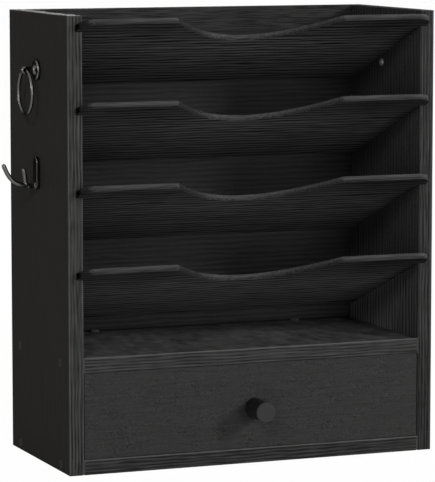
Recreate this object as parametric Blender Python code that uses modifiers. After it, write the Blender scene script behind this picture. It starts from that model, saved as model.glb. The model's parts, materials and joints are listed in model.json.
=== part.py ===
"""Envelope sorter: a tall open case with four sloping shelves, a drawer below and hooks on both sides.

World frame: origin under the middle of the case, on the surface it stands on.
X runs to the right, Y to the back and Z up. All sizes are metres.
"""

from math import acos, cos, pi, radians, sin, tan

import bmesh
import bpy
from mathutils import Matrix, Vector

MM = 0.001

# Driving dimensions of the case
CASE_WIDTH = 313.0 * MM
CASE_DEPTH = 145.0 * MM
CASE_HEIGHT = 360.0 * MM
BOARD = 12.0 * MM
BOARD_EDGE = 0.5 * MM
DRAWER_OPENING = 69.0 * MM

# Clearances and cutting allowances
FIT = 0.3 * MM
OVERRUN = 3.0 * MM
WELD = 0.01 * MM

# Sloping shelves and the slots that hold them
SHELF_COUNT = 4
SHELF_SLOPE = radians(20.6)
SHELF_THICKNESS = 4.5 * MM
SHELF_EDGE = 0.4 * MM
SHELF_LIP = 15.8 * MM
SHELF_CORNER = 13.0 * MM
SHELF_SIDE_PLAY = 0.5 * MM
SLOT_WIDTH = 5.3 * MM
SLOT_DEPTH = 5.5 * MM
TOP_SLOT_BELOW_RIM = 9.7 * MM
LOWEST_SLOT_REAR_RISE = 14.4 * MM
SCOOP_WIDTH = 140.0 * MM
SCOOP_DEPTH = 46.3 * MM
SCOOP_CORNER = 4.0 * MM

# Drawer
DRAWER_FRONT_THICKNESS = 12.0 * MM
DRAWER_FRONT_SIDE_GAP = 0.5 * MM
DRAWER_FRONT_TOP_GAP = 0.5 * MM
DRAWER_FRONT_FOOT_GAP = 0.5 * MM
DRAWER_WALL = 10.0 * MM
DRAWER_WALL_HEIGHT = 50.0 * MM
DRAWER_WALL_GAP = 1.5 * MM
DRAWER_REAR_GAP = 4.0 * MM
DRAWER_BOTTOM_THICKNESS = 3.0 * MM
DRAWER_BOTTOM_RISE = 6.0 * MM
DRAWER_GROOVE_DEPTH = 5.0 * MM

# Knob and its machine screw
KNOB_DIAMETER = 16.5 * MM
KNOB_LENGTH = 24.0 * MM
KNOB_CHAMFER = 0.6 * MM
KNOB_HEIGHT = 44.6 * MM
KNOB_SCREW_SHANK = 3.9 * MM
KNOB_SCREW_GRIP = 9.0 * MM
PAN_HEAD_DIAMETER = 7.5 * MM
PAN_HEAD_HEIGHT = 2.4 * MM

# Ring hooks: a turned post with an eye across its end, and a ring through the eye
RING_HOOK_BELOW_SLOT = 8.5 * MM
ROSETTE_DIAMETER = 16.5 * MM
ROSETTE_THICKNESS = 2.6 * MM
ROSETTE_EDGE = 1.1 * MM
NECK_DIAMETER = 5.4 * MM
NECK_COVE = 2.2 * MM
EYE_REACH = 10.0 * MM
EYE_DIAMETER = 6.6 * MM
EYE_BORE = 3.6 * MM
RING_MEAN_DIAMETER = 34.8 * MM
RING_WIRE = 2.6 * MM
POST_SCREW_SHANK = 3.0 * MM
POST_SCREW_GRIP = 5.7 * MM
POST_SCREW_HEAD = 6.4 * MM
POST_SCREW_HEAD_HEIGHT = 2.1 * MM

# Double hooks: a narrow plate with a long and a short prong
HOOK_BELOW_SLOT = 26.2 * MM
HOOK_PLATE_WIDTH = 10.0 * MM
HOOK_PLATE_HEIGHT = 26.0 * MM
HOOK_PLATE_THICKNESS = 2.8 * MM
HOOK_PLATE_EDGE = 0.9 * MM
HOOK_ROOT_DROP = 10.6 * MM
LONG_PRONG_REACH = 28.5 * MM
LONG_PRONG_RISE = 16.9 * MM
SHORT_PRONG_REACH = 11.8 * MM
SHORT_PRONG_RISE = 12.8 * MM
PRONG_ROOT_RADIUS = 1.8 * MM
PRONG_NECK_RADIUS = 0.9 * MM
PRONG_TIP_RADIUS = 1.8 * MM
HOOK_SCREW_SPACING = 12.5 * MM
HOOK_SCREW_RISE = 2.4 * MM
HOOK_SCREW_SHANK = 2.4 * MM
HOOK_SCREW_LENGTH = 11.5 * MM
HOOK_SCREW_HEAD = 4.8 * MM

# Fasteners that hold the boards together
PANEL_SCREW_SHANK = 3.6 * MM
PANEL_SCREW_LENGTH = 38.0 * MM
PANEL_SCREW_HEAD = 7.2 * MM
PANEL_SCREW_SETBACK = 21.5 * MM
DRAWER_SCREW_SHANK = 3.0 * MM
DRAWER_SCREW_LENGTH = 26.0 * MM
DRAWER_SCREW_HEAD = 6.0 * MM
SCREW_POINT = 3.0 * MM
DOWEL_DIAMETER = 6.0 * MM
DOWEL_CHAMFER = 0.6 * MM
DOWEL_LENGTH = 24.0 * MM
DOWEL_IN_SIDE_PANEL = 7.5 * MM
DOWEL_IN_DRAWER_FRONT = 7.5 * MM
BACK_DOWEL_INSET = 40.0 * MM
DRAWER_JOINT_SPACING = 22.0 * MM
FITTING_SPACING = 180.0 * MM
FITTING_CAP_DIAMETER = 8.0 * MM
FITTING_CAP_HEIGHT = 2.0 * MM
FITTING_STEM_DIAMETER = 5.6 * MM
FITTING_STEM_LENGTH = 8.0 * MM
FITTING_PIN_DIAMETER = 4.0 * MM
FITTING_PIN_IN_BACK = 8.5 * MM

# Facets of round shapes
KNOB_STEPS = 32
POST_STEPS = 24
SMALL_STEPS = 12
RING_STEPS = 36
RING_WIRE_STEPS = 8
CORNER_STEPS = 6
SCOOP_STEPS = 28
PRONG_STEPS = 14
PRONG_DOME_STEPS = 2
PRONG_BEVEL_STEPS = 2
DOME_STEPS = 4

# Routes of the two prongs as shares of their reach and rise, from the root outwards
LONG_ROUTE_SHARES = ((0.02, 0.0), (0.5, 0.1), (0.78, 0.0), (1.0, 1.0))
SHORT_ROUTE_SHARES = ((0.55, 0.02), (0.93, 0.02), (0.9, 0.4), (1.0, 1.0))
FLARE_START_SHARE = 0.62
BEVEL_ANGLE = radians(35.0)

# Shares of the domed screw heads and caps
HEAD_RIM_SHARE = 0.33
CAP_RIM_SHARE = 0.5

# Places that follow from the sizes above
FRONT = -CASE_DEPTH / 2
REAR = CASE_DEPTH / 2
BACK_PANEL_FACE = REAR - BOARD
INNER_DEPTH = CASE_DEPTH - BOARD
OUTER_HALF = CASE_WIDTH / 2
INNER_HALF = OUTER_HALF - BOARD
SHELF_BOARD_UNDER = BOARD + DRAWER_OPENING
TOP_SLOT_HEIGHT = CASE_HEIGHT - TOP_SLOT_BELOW_RIM
SHELF_BOARD_TOP = SHELF_BOARD_UNDER + BOARD
SLOT_FALL = INNER_DEPTH * tan(SHELF_SLOPE)
LOWEST_SLOT_HEIGHT = SHELF_BOARD_TOP + LOWEST_SLOT_REAR_RISE + SLOT_FALL
SLOT_PITCH = (TOP_SLOT_HEIGHT - LOWEST_SLOT_HEIGHT) / (SHELF_COUNT - 1)
MIDDLE_SLOT_FALL = CASE_DEPTH / 2 * tan(SHELF_SLOPE)
RING_HOOK_HEIGHT = TOP_SLOT_HEIGHT - MIDDLE_SLOT_FALL - RING_HOOK_BELOW_SLOT
HOOK_HEIGHT = TOP_SLOT_HEIGHT - SLOT_PITCH - MIDDLE_SLOT_FALL - HOOK_BELOW_SLOT
DRAWER_FRONT_REAR = FRONT + DRAWER_FRONT_THICKNESS
DRAWER_REAR = BACK_PANEL_FACE - DRAWER_REAR_GAP
DRAWER_WALL_OUT = INNER_HALF - DRAWER_WALL_GAP
DRAWER_WALL_IN = DRAWER_WALL_OUT - DRAWER_WALL
DRAWER_GROOVE_OUT = DRAWER_WALL_IN + DRAWER_GROOVE_DEPTH
DRAWER_JOINT_X = DRAWER_WALL_OUT - DRAWER_WALL / 2
DRAWER_SCREW_Y = DRAWER_REAR - DRAWER_WALL / 2

# Colour, roughness and metallic value of each look
LAMINATE = ((0.028, 0.028, 0.028), 0.55, 0.0)
LAMINATE_LIGHT = ((0.035, 0.035, 0.034), 0.5, 0.0)
HARDBOARD = ((0.025, 0.024, 0.023), 0.6, 0.0)
BLACK_METAL = ((0.02, 0.02, 0.021), 0.25, 1.0)
PALE_WOOD = ((0.5, 0.36, 0.22), 0.7, 0.0)
GREY_ZINC = ((0.35, 0.35, 0.36), 0.35, 1.0)


def start_collections():
    """Empties the scene and gives it one collection for the parts and one for the cutters."""
    for item in list(bpy.data.objects):
        bpy.data.objects.remove(item, do_unlink=True)
    parts = bpy.data.collections.new("envelope_sorter")
    cutters = bpy.data.collections.new("cutters")
    for collection in (parts, cutters):
        bpy.context.scene.collection.children.link(collection)
    return parts, cutters


PARTS, CUTTERS = start_collections()


def finish(item, look):
    """Gives a piece its own material from a colour, a roughness and a metallic value."""
    colour, roughness, metallic = look
    material = bpy.data.materials.new(item.name + "_finish")
    material.use_nodes = True
    shader = material.node_tree.nodes["Principled BSDF"]
    shader.inputs["Base Color"].default_value = (*colour, 1.0)
    shader.inputs["Roughness"].default_value = roughness
    shader.inputs["Metallic"].default_value = metallic
    material.diffuse_color = (*colour, 1.0)
    item.data.materials.clear()
    item.data.materials.append(material)


def place(name, data, look, at=(0, 0, 0), turn=(0, 0, 0), parent=None):
    """Adds a named piece to the parts, at a place under its parent."""
    item = bpy.data.objects.new(name, data)
    PARTS.objects.link(item)
    item.location = at
    item.rotation_euler = turn
    item.parent = parent
    finish(item, look)
    return item


def anchor(name, at, turn=(0, 0, 0)):
    """Adds an empty that stands on the axis of a moving group."""
    empty = bpy.data.objects.new(name, None)
    PARTS.objects.link(empty)
    empty.location = at
    empty.rotation_euler = turn
    return empty


def mesh_from(name, shape):
    """Turns a bmesh into mesh data and frees it."""
    mesh = bpy.data.meshes.new(name)
    shape.to_mesh(mesh)
    shape.free()
    return mesh


def add_box(shape, low, high, turn=Matrix()):
    """Adds a box between two corners to a bmesh, moved by a matrix."""
    size = Vector(high) - Vector(low)
    middle = (Vector(high) + Vector(low)) / 2
    spread = Matrix.Translation(middle) @ Matrix.Diagonal((*size, 1))
    bmesh.ops.create_cube(shape, size=1, matrix=turn @ spread)


def add_rod(shape, start, direction, length, radius):
    """Adds a cylinder from a point along a direction to a bmesh."""
    direction = Vector(direction)
    turn = direction.to_track_quat("Z", "Y").to_matrix().to_4x4()
    middle = Vector(start) + direction * (length / 2)
    bmesh.ops.create_cone(
        shape, cap_ends=True, segments=SMALL_STEPS, radius1=radius, radius2=radius,
        depth=length, matrix=Matrix.Translation(middle) @ turn)


def add_turned(shape, profile, point, direction):
    """Adds a turned body to a bmesh: its profile starts and ends on the axis."""
    body = bmesh.new()
    points = [body.verts.new((radius, 0, height)) for radius, height in profile]
    edges = [body.edges.new(pair) for pair in zip(points, points[1:])]
    bmesh.ops.spin(
        body, geom=points + edges, cent=(0, 0, 0), axis=(0, 0, 1),
        angle=2 * pi, steps=SMALL_STEPS, use_merge=True)
    bmesh.ops.remove_doubles(body, verts=body.verts, dist=WELD)
    bmesh.ops.recalc_face_normals(body, faces=body.faces)
    turn = Vector(direction).to_track_quat("Z", "Y").to_matrix().to_4x4()
    body.transform(Matrix.Translation(point) @ turn)
    mesh = mesh_from("turned_body", body)
    shape.from_mesh(mesh)
    bpy.data.meshes.remove(mesh)


def cut(target, shape):
    """Cuts the bodies in a bmesh out of a piece, in the piece's own frame."""
    name = target.name + "_cutter"
    cutter = bpy.data.objects.new(name, mesh_from(name, shape))
    CUTTERS.objects.link(cutter)
    cutter.parent = target
    cutter.hide_render = True
    cutter.display_type = "WIRE"
    boolean = target.modifiers.new("openings", "BOOLEAN")
    boolean.operation = "DIFFERENCE"
    boolean.object = cutter
    boolean.use_self = True


def soften(item, width, steps=1):
    """Rounds the sharp edges of a piece."""
    bevel = item.modifiers.new("edges", "BEVEL")
    bevel.width = width
    bevel.segments = steps
    bevel.limit_method = "ANGLE"
    bevel.angle_limit = BEVEL_ANGLE


def board(name, low, high, look, parent=None, edge=BOARD_EDGE):
    """A board between two corners, with its origin at its middle and its edges eased."""
    middle = (Vector(low) + Vector(high)) / 2
    shape = bmesh.new()
    add_box(shape, Vector(low) - middle, Vector(high) - middle)
    base = parent.location if parent else Vector((0, 0, 0))
    item = place(name, mesh_from(name, shape), look, middle - base, parent=parent)
    soften(item, edge)
    return item, middle


def evaluated_mesh(item):
    """The mesh of an object with its modifiers, or of a curve, as new data with its seams welded."""
    graph = bpy.context.evaluated_depsgraph_get()
    mesh = bpy.data.meshes.new_from_object(item.evaluated_get(graph))
    shape = bmesh.new()
    shape.from_mesh(mesh)
    bmesh.ops.remove_doubles(shape, verts=shape.verts, dist=WELD)
    shape.to_mesh(mesh)
    shape.free()
    return mesh


def profile_mesh(name, profile):
    """An open profile of (radius, height) points that runs down the outer side of a turned piece."""
    mesh = bpy.data.meshes.new(name)
    points = [(radius, 0, height) for radius, height in profile]
    mesh.from_pydata(points, [(i, i + 1) for i in range(len(points) - 1)], [])
    return mesh


def turned(name, profile, at, direction, look, parent=None, steps=SMALL_STEPS):
    """A turned piece whose profile's top points along a direction."""
    turn = Vector(direction).to_track_quat("Z", "Y").to_euler()
    item = place(name, profile_mesh(name, profile), look, at, turn, parent)
    screw = item.modifiers.new("turning", "SCREW")
    screw.steps = screw.render_steps = steps
    screw.use_merge_vertices = True
    screw.merge_threshold = WELD
    return item


def turned_set(name, profile, places, look, parent=None):
    """Like turned pieces, numbered from one, each at a point and pointing along a direction."""
    for number, (point, direction) in enumerate(places, 1):
        turned(f"{name}_{number}", profile, point, direction, look, parent)


def arc(centre, radius, start, end, steps):
    """Points on an arc, with both ends."""
    angles = [start + (end - start) * i / steps for i in range(steps + 1)]
    return [(centre[0] + radius * cos(a), centre[1] + radius * sin(a)) for a in angles]


def eased_corner(before, corner, after, steps):
    """Points on a smooth curve that replaces a corner, from the point before it to the one after."""
    points = []
    for i in range(steps + 1):
        t = i / steps
        weights = ((1 - t) ** 2, 2 * t * (1 - t), t * t)
        ends = zip(before, corner, after)
        points.append(tuple(sum(w * v for w, v in zip(weights, values)) for values in ends))
    return points


def dome_profile(radius, height, rim):
    """A domed top over a straight rim, from the axis out to the rim's foot at height zero."""
    rise = height - rim
    angles = [pi / 2 * (1 - i / DOME_STEPS) for i in range(1, DOME_STEPS + 1)]
    dome = [(radius * cos(a), rim + rise * sin(a)) for a in angles]
    return [(0, height)] + dome + [(radius, 0)]


def pan_head_profile(head_diameter, head_height, shank_diameter, shank_length):
    """A machine screw: a domed head on top, its shank hanging down from height zero."""
    shank = shank_diameter / 2
    head = dome_profile(head_diameter / 2, head_height, head_height * HEAD_RIM_SHARE)
    return head + [(shank, 0), (shank, -shank_length), (0, -shank_length)]


def countersunk_profile(head_diameter, shank_diameter, length):
    """A wood screw with a flat top at height zero, a tapered head and a pointed shank."""
    head, shank = head_diameter / 2, shank_diameter / 2
    taper = head - shank
    straight = length - SCREW_POINT
    return [(0, 0), (head, 0), (shank, -taper), (shank, -straight), (0, -length)]


def add_screw_hole(shape, point, direction, head_diameter, shank_diameter, length):
    """Adds the countersunk hole of a wood screw to a bmesh; the direction is the driving one."""
    head, shank = head_diameter / 2 + FIT, shank_diameter / 2 + FIT
    sink = head - shank
    end = -length - FIT
    profile = [(0, OVERRUN), (head, OVERRUN), (head, -FIT), (shank, -FIT - sink),
               (shank, end), (0, end)]
    add_turned(shape, profile, point, -Vector(direction))


def dowel_profile():
    """A plain dowel with chamfered ends, centred on its middle."""
    radius, half = DOWEL_DIAMETER / 2, DOWEL_LENGTH / 2
    return [(0, half), (radius - DOWEL_CHAMFER, half), (radius, half - DOWEL_CHAMFER),
            (radius, DOWEL_CHAMFER - half), (radius - DOWEL_CHAMFER, -half), (0, -half)]


def slot_height(index):
    """Height of a slot's middle line at the front of the case, counted from the top."""
    return TOP_SLOT_HEIGHT - index * SLOT_PITCH


def panel_screw_places(side):
    """Where the four screws of a side panel start, on its outer face."""
    heights = (BOARD / 2, SHELF_BOARD_UNDER + BOARD / 2)
    depths = (FRONT + PANEL_SCREW_SETBACK, REAR - PANEL_SCREW_SETBACK)
    return [(side * OUTER_HALF, y, z) for z in heights for y in depths]


def back_dowel_places(side):
    """Middles of the three dowels between a side panel and the back panel."""
    heights = (BACK_DOWEL_INSET, CASE_HEIGHT / 2, CASE_HEIGHT - BACK_DOWEL_INSET)
    x = side * (INNER_HALF + DOWEL_IN_SIDE_PANEL - DOWEL_LENGTH / 2)
    return [(x, REAR - BOARD / 2, z) for z in heights]


def hook_screw_heights():
    """Heights of the two screws of a double hook."""
    middle = HOOK_HEIGHT + HOOK_SCREW_RISE
    return (middle - HOOK_SCREW_SPACING / 2, middle + HOOK_SCREW_SPACING / 2)


def side_panel(name, side):
    """A side panel with four sloping slots that are open at the front, and its fastener holes."""
    low_x, high_x = sorted((side * INNER_HALF, side * OUTER_HALF))
    item, middle = board(name, (low_x, FRONT, 0), (high_x, REAR, CASE_HEIGHT), LAMINATE)
    shape = bmesh.new()
    slot_x = sorted((side * (INNER_HALF - OVERRUN), side * (INNER_HALF + SLOT_DEPTH)))
    run = (INNER_DEPTH - SLOT_WIDTH / 2 * sin(SHELF_SLOPE)) / cos(SHELF_SLOPE)
    for index in range(SHELF_COUNT):
        frame = Matrix.Translation(Vector((0, FRONT, slot_height(index))) - middle)
        frame = frame @ Matrix.Rotation(-SHELF_SLOPE, 4, "X")
        low = (slot_x[0], -SHELF_LIP, -SLOT_WIDTH / 2)
        add_box(shape, low, (slot_x[1], run, SLOT_WIDTH / 2), frame)
    inward = (-side, 0, 0)
    screw = (PANEL_SCREW_HEAD, PANEL_SCREW_SHANK, PANEL_SCREW_LENGTH)
    for point in panel_screw_places(side):
        add_screw_hole(shape, Vector(point) - middle, inward, *screw)
    for point in back_dowel_places(side):
        end = Vector(point) + Vector((side * (DOWEL_LENGTH / 2 + FIT), 0, 0))
        add_rod(shape, end - middle, inward, DOWEL_LENGTH, DOWEL_DIAMETER / 2 + FIT)
    start = Vector((side * (OUTER_HALF + OVERRUN), 0, RING_HOOK_HEIGHT))
    add_rod(shape, start - middle, inward, BOARD + 2 * OVERRUN, POST_SCREW_SHANK / 2 + FIT)
    for z in hook_screw_heights():
        start = Vector((side * (OUTER_HALF + OVERRUN), 0, z))
        depth = HOOK_SCREW_LENGTH - HOOK_PLATE_THICKNESS + OVERRUN
        add_rod(shape, start - middle, inward, depth, HOOK_SCREW_SHANK / 2 + FIT)
    cut(item, shape)


def back_panel():
    """The full-height back panel between the side panels."""
    half = INNER_HALF - FIT
    low, high = (-half, BACK_PANEL_FACE, 0), (half, REAR, CASE_HEIGHT)
    item, middle = board("back_panel", low, high, LAMINATE)
    shape = bmesh.new()
    dowel, pin = DOWEL_DIAMETER / 2 + FIT, FITTING_PIN_DIAMETER / 2 + FIT
    pin_height = SHELF_BOARD_UNDER + BOARD / 2
    pin_depth = OVERRUN + FITTING_PIN_IN_BACK + FIT
    for side in (-1, 1):
        for point in back_dowel_places(side):
            end = Vector(point) - Vector((side * (DOWEL_LENGTH / 2 + FIT), 0, 0))
            add_rod(shape, end - middle, (side, 0, 0), DOWEL_LENGTH + OVERRUN, dowel)
        start = Vector((side * FITTING_SPACING / 2, BACK_PANEL_FACE - OVERRUN, pin_height))
        add_rod(shape, start - middle, (0, 1, 0), pin_depth, pin)
    cut(item, shape)


def fitting_middle_y():
    """Depth of the fittings' middles: their caps stand close to the back panel."""
    return BACK_PANEL_FACE - FIT - FITTING_CAP_DIAMETER / 2


def cross_board(name, under):
    """A level board between the side panels, in front of the back panel."""
    half = INNER_HALF - FIT
    rear = BACK_PANEL_FACE - FIT
    low, high = (-half, FRONT, under), (half, rear, under + BOARD)
    item, middle = board(name, low, high, LAMINATE_LIGHT)
    shape = bmesh.new()
    radius, depth = PANEL_SCREW_SHANK / 2 + FIT, PANEL_SCREW_LENGTH + FIT
    for side in (-1, 1):
        for y in (FRONT + PANEL_SCREW_SETBACK, REAR - PANEL_SCREW_SETBACK):
            start = Vector((side * OUTER_HALF, y, under + BOARD / 2))
            add_rod(shape, start - middle, (-side, 0, 0), depth, radius)
    return item, middle, shape


def bottom_panel():
    """The board that the drawer slides on."""
    item, _, shape = cross_board("bottom_panel", 0)
    cut(item, shape)


def drawer_top_board():
    """The fixed board above the drawer, with the two fittings that tie it to the back panel."""
    item, middle, shape = cross_board("drawer_top_board", SHELF_BOARD_UNDER)
    stem, pin = FITTING_STEM_DIAMETER / 2 + FIT, FITTING_PIN_DIAMETER / 2 + FIT
    depth = OVERRUN + FITTING_STEM_LENGTH + FIT
    for side in (-1, 1):
        x = side * FITTING_SPACING / 2
        start = Vector((x, fitting_middle_y(), SHELF_BOARD_TOP + OVERRUN))
        add_rod(shape, start - middle, (0, 0, -1), depth, stem)
        start = Vector((x, fitting_middle_y(), SHELF_BOARD_UNDER + BOARD / 2))
        add_rod(shape, start - middle, (0, 1, 0), REAR - fitting_middle_y(), pin)
    cut(item, shape)


def board_fittings():
    """Two round fittings with low domed caps, and the pins that they hold in the back panel."""
    stem = FITTING_STEM_DIAMETER / 2
    end = -FITTING_STEM_LENGTH - FIT
    rim = FITTING_CAP_HEIGHT * CAP_RIM_SHARE
    cap = dome_profile(FITTING_CAP_DIAMETER / 2, FITTING_CAP_HEIGHT, rim)
    profile = cap + [(stem, 0), (stem, end), (0, end)]
    top = SHELF_BOARD_TOP + FIT
    points = [(side * FITTING_SPACING / 2, fitting_middle_y(), top) for side in (-1, 1)]
    turned_set("board_fitting", profile, [(p, (0, 0, 1)) for p in points], GREY_ZINC)
    radius = FITTING_PIN_DIAMETER / 2
    start = fitting_middle_y() + stem + FIT
    length = BACK_PANEL_FACE + FITTING_PIN_IN_BACK - start
    pin = [(0, length), (radius, length), (radius, 0), (0, 0)]
    height = SHELF_BOARD_UNDER + BOARD / 2
    pins = [((side * FITTING_SPACING / 2, start, height), (0, 1, 0)) for side in (-1, 1)]
    turned_set("board_fitting_pin", pin, pins, GREY_ZINC)


def panel_fasteners():
    """The screws through the side panels and the dowels that locate the back panel."""
    screw = countersunk_profile(PANEL_SCREW_HEAD, PANEL_SCREW_SHANK, PANEL_SCREW_LENGTH)
    for word, side in (("left", -1), ("right", 1)):
        screws = [(point, (side, 0, 0)) for point in panel_screw_places(side)]
        turned_set(f"{word}_panel_screw", screw, screws, BLACK_METAL)
        dowels = [(point, (side, 0, 0)) for point in back_dowel_places(side)]
        turned_set(f"{word}_back_dowel", dowel_profile(), dowels, PALE_WOOD)


def shelf_outline():
    """The outline of a sloping shelf: square at the back, rounded in front round a wide scoop."""
    half = INNER_HALF + SLOT_DEPTH - SHELF_SIDE_PLAY
    rear = (INNER_DEPTH - FIT - SHELF_THICKNESS / 2 * sin(SHELF_SLOPE)) / cos(SHELF_SLOPE)
    lip = -SHELF_LIP
    scoop = SCOOP_WIDTH / 2
    inner = scoop - SCOOP_CORNER / 2
    corner = arc((half - SHELF_CORNER, lip + SHELF_CORNER), SHELF_CORNER, 0, -pi / 2, CORNER_STEPS)

    def scoop_point(x):
        """A point on the scoop, which is a parabola."""
        return (x, lip + SCOOP_DEPTH * (1 - (x / scoop) ** 2))

    outer = (scoop + SCOOP_CORNER / 2, lip)
    ease = eased_corner(outer, (scoop, lip), scoop_point(inner), CORNER_STEPS // 2)
    right = [(half, rear)] + corner + ease
    middle = [scoop_point(inner * (1 - 2 * i / SCOOP_STEPS)) for i in range(1, SCOOP_STEPS)]
    left = [(-x, y) for x, y in reversed(right)]
    return right + middle + left


def sloping_shelf(number, outline):
    """One shelf, lying in its slots and sloping down to the back; it draws out along the slots."""
    height = slot_height(number - 1)
    slide = anchor(f"shelf_slide_{number}", (0, FRONT, height), (-SHELF_SLOPE, 0, 0))
    curve = bpy.data.curves.new(f"sloped_shelf_{number}", "CURVE")
    curve.dimensions = "2D"
    curve.fill_mode = "BOTH"
    curve.extrude = SHELF_THICKNESS / 2
    spline = curve.splines.new("POLY")
    spline.points.add(len(outline) - 1)
    for point, (x, y) in zip(spline.points, outline):
        point.co = (x, y, 0, 1)
    spline.use_cyclic_u = True
    rest = FIT + SHELF_THICKNESS / 2 - SLOT_WIDTH / 2
    item = place(f"sloped_shelf_{number}", curve, HARDBOARD, (0, 0, rest), parent=slide)
    weld = item.modifiers.new("seams", "WELD")
    weld.merge_threshold = WELD
    soften(item, SHELF_EDGE)


def drawer_levels():
    """Heights of the drawer walls' foot and the bottom's underside."""
    foot = BOARD + FIT
    return foot, foot + DRAWER_BOTTOM_RISE + FIT


def drawer_joint_heights():
    """Heights of the two joints at each corner of the drawer."""
    foot, _ = drawer_levels()
    middle = foot + (DRAWER_WALL_HEIGHT + DRAWER_BOTTOM_RISE + DRAWER_BOTTOM_THICKNESS) / 2
    return (middle - DRAWER_JOINT_SPACING / 2, middle + DRAWER_JOINT_SPACING / 2)


def drawer_joint_points(x, y):
    """Points of all four joints of one kind, at a distance from the middle and a depth."""
    return [Vector((side * x, y, z)) for side in (-1, 1) for z in drawer_joint_heights()]


def drawer_front(slide):
    """The drawer front: grooved for the bottom, bored for the dowels and the knob's screw."""
    half = INNER_HALF - DRAWER_FRONT_SIDE_GAP
    low = (-half, FRONT, BOARD + DRAWER_FRONT_FOOT_GAP)
    high = (half, DRAWER_FRONT_REAR, SHELF_BOARD_UNDER - DRAWER_FRONT_TOP_GAP)
    item, middle = board("drawer_front", low, high, LAMINATE_LIGHT, slide)
    _, under = drawer_levels()
    shape = bmesh.new()
    low = Vector((-DRAWER_GROOVE_OUT, DRAWER_FRONT_REAR - DRAWER_GROOVE_DEPTH, under - FIT))
    high = (DRAWER_GROOVE_OUT, DRAWER_FRONT_REAR + OVERRUN, under + DRAWER_BOTTOM_THICKNESS + FIT)
    add_box(shape, low - middle, Vector(high) - middle)
    for point in drawer_joint_points(DRAWER_JOINT_X, DRAWER_FRONT_REAR - DOWEL_IN_DRAWER_FRONT - FIT):
        add_rod(shape, point - middle, (0, 1, 0), DOWEL_LENGTH, DOWEL_DIAMETER / 2 + FIT)
    start = Vector((0, FRONT - OVERRUN, KNOB_HEIGHT))
    depth = DRAWER_FRONT_THICKNESS + 2 * OVERRUN
    add_rod(shape, start - middle, (0, 1, 0), depth, KNOB_SCREW_SHANK / 2 + FIT)
    cut(item, shape)


def drawer_wall(name, side, slide):
    """A side of the drawer: grooved for the bottom, bored for dowels in front and screws behind."""
    foot, under = drawer_levels()
    low_x, high_x = sorted((side * DRAWER_WALL_IN, side * DRAWER_WALL_OUT))
    low = (low_x, DRAWER_FRONT_REAR + FIT, foot)
    high = (high_x, DRAWER_REAR, foot + DRAWER_WALL_HEIGHT)
    item, middle = board(name, low, high, HARDBOARD, slide)
    shape = bmesh.new()
    groove_x = sorted((side * (DRAWER_WALL_IN - OVERRUN), side * DRAWER_GROOVE_OUT))
    low = Vector((groove_x[0], DRAWER_FRONT_REAR - OVERRUN, under - FIT))
    high = (groove_x[1], DRAWER_REAR + OVERRUN, under + DRAWER_BOTTOM_THICKNESS + FIT)
    add_box(shape, low - middle, Vector(high) - middle)
    depth = OVERRUN + DOWEL_LENGTH - DOWEL_IN_DRAWER_FRONT
    screw = (DRAWER_SCREW_HEAD, DRAWER_SCREW_SHANK, DRAWER_SCREW_LENGTH)
    for z in drawer_joint_heights():
        start = Vector((side * DRAWER_JOINT_X, DRAWER_FRONT_REAR + FIT - OVERRUN, z))
        add_rod(shape, start - middle, (0, 1, 0), depth, DOWEL_DIAMETER / 2 + FIT)
        start = Vector((side * DRAWER_WALL_OUT, DRAWER_SCREW_Y, z))
        add_screw_hole(shape, start - middle, (-side, 0, 0), *screw)
    cut(item, shape)


def drawer_back(slide):
    """The back of the drawer, between its sides and above its bottom."""
    foot, under = drawer_levels()
    half = DRAWER_WALL_IN - FIT
    low = (-half, DRAWER_REAR - DRAWER_WALL, under + DRAWER_BOTTOM_THICKNESS + FIT)
    high = (half, DRAWER_REAR, foot + DRAWER_WALL_HEIGHT)
    item, middle = board("drawer_back", low, high, HARDBOARD, slide)
    shape = bmesh.new()
    radius, depth = DRAWER_SCREW_SHANK / 2 + FIT, DRAWER_SCREW_LENGTH + FIT
    for point in drawer_joint_points(DRAWER_WALL_OUT, DRAWER_SCREW_Y):
        inward = (-1 if point.x > 0 else 1, 0, 0)
        add_rod(shape, point - middle, inward, depth, radius)
    cut(item, shape)


def drawer():
    """The drawer: a front, two grooved sides, a back, a thin bottom, and what joins them."""
    slide = anchor("drawer_slide", (0, FRONT, BOARD))
    drawer_front(slide)
    drawer_wall("drawer_left_side", -1, slide)
    drawer_wall("drawer_right_side", 1, slide)
    drawer_back(slide)
    _, under = drawer_levels()
    half = DRAWER_GROOVE_OUT - FIT
    low = (-half, DRAWER_FRONT_REAR - DRAWER_GROOVE_DEPTH + FIT, under)
    high = (half, DRAWER_REAR, under + DRAWER_BOTTOM_THICKNESS)
    board("drawer_bottom", low, high, HARDBOARD, slide, SHELF_EDGE)

    dowel_y = DRAWER_FRONT_REAR - DOWEL_IN_DRAWER_FRONT + DOWEL_LENGTH / 2
    points = drawer_joint_points(DRAWER_JOINT_X, dowel_y)
    dowels = [(point - slide.location, (0, 1, 0)) for point in points]
    turned_set("drawer_front_dowel", dowel_profile(), dowels, PALE_WOOD, slide)
    screw = countersunk_profile(DRAWER_SCREW_HEAD, DRAWER_SCREW_SHANK, DRAWER_SCREW_LENGTH)
    points = drawer_joint_points(DRAWER_WALL_OUT, DRAWER_SCREW_Y)
    screws = [(point - slide.location, (1 if point.x > 0 else -1, 0, 0)) for point in points]
    turned_set("drawer_back_screw", screw, screws, GREY_ZINC, slide)
    return slide


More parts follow.
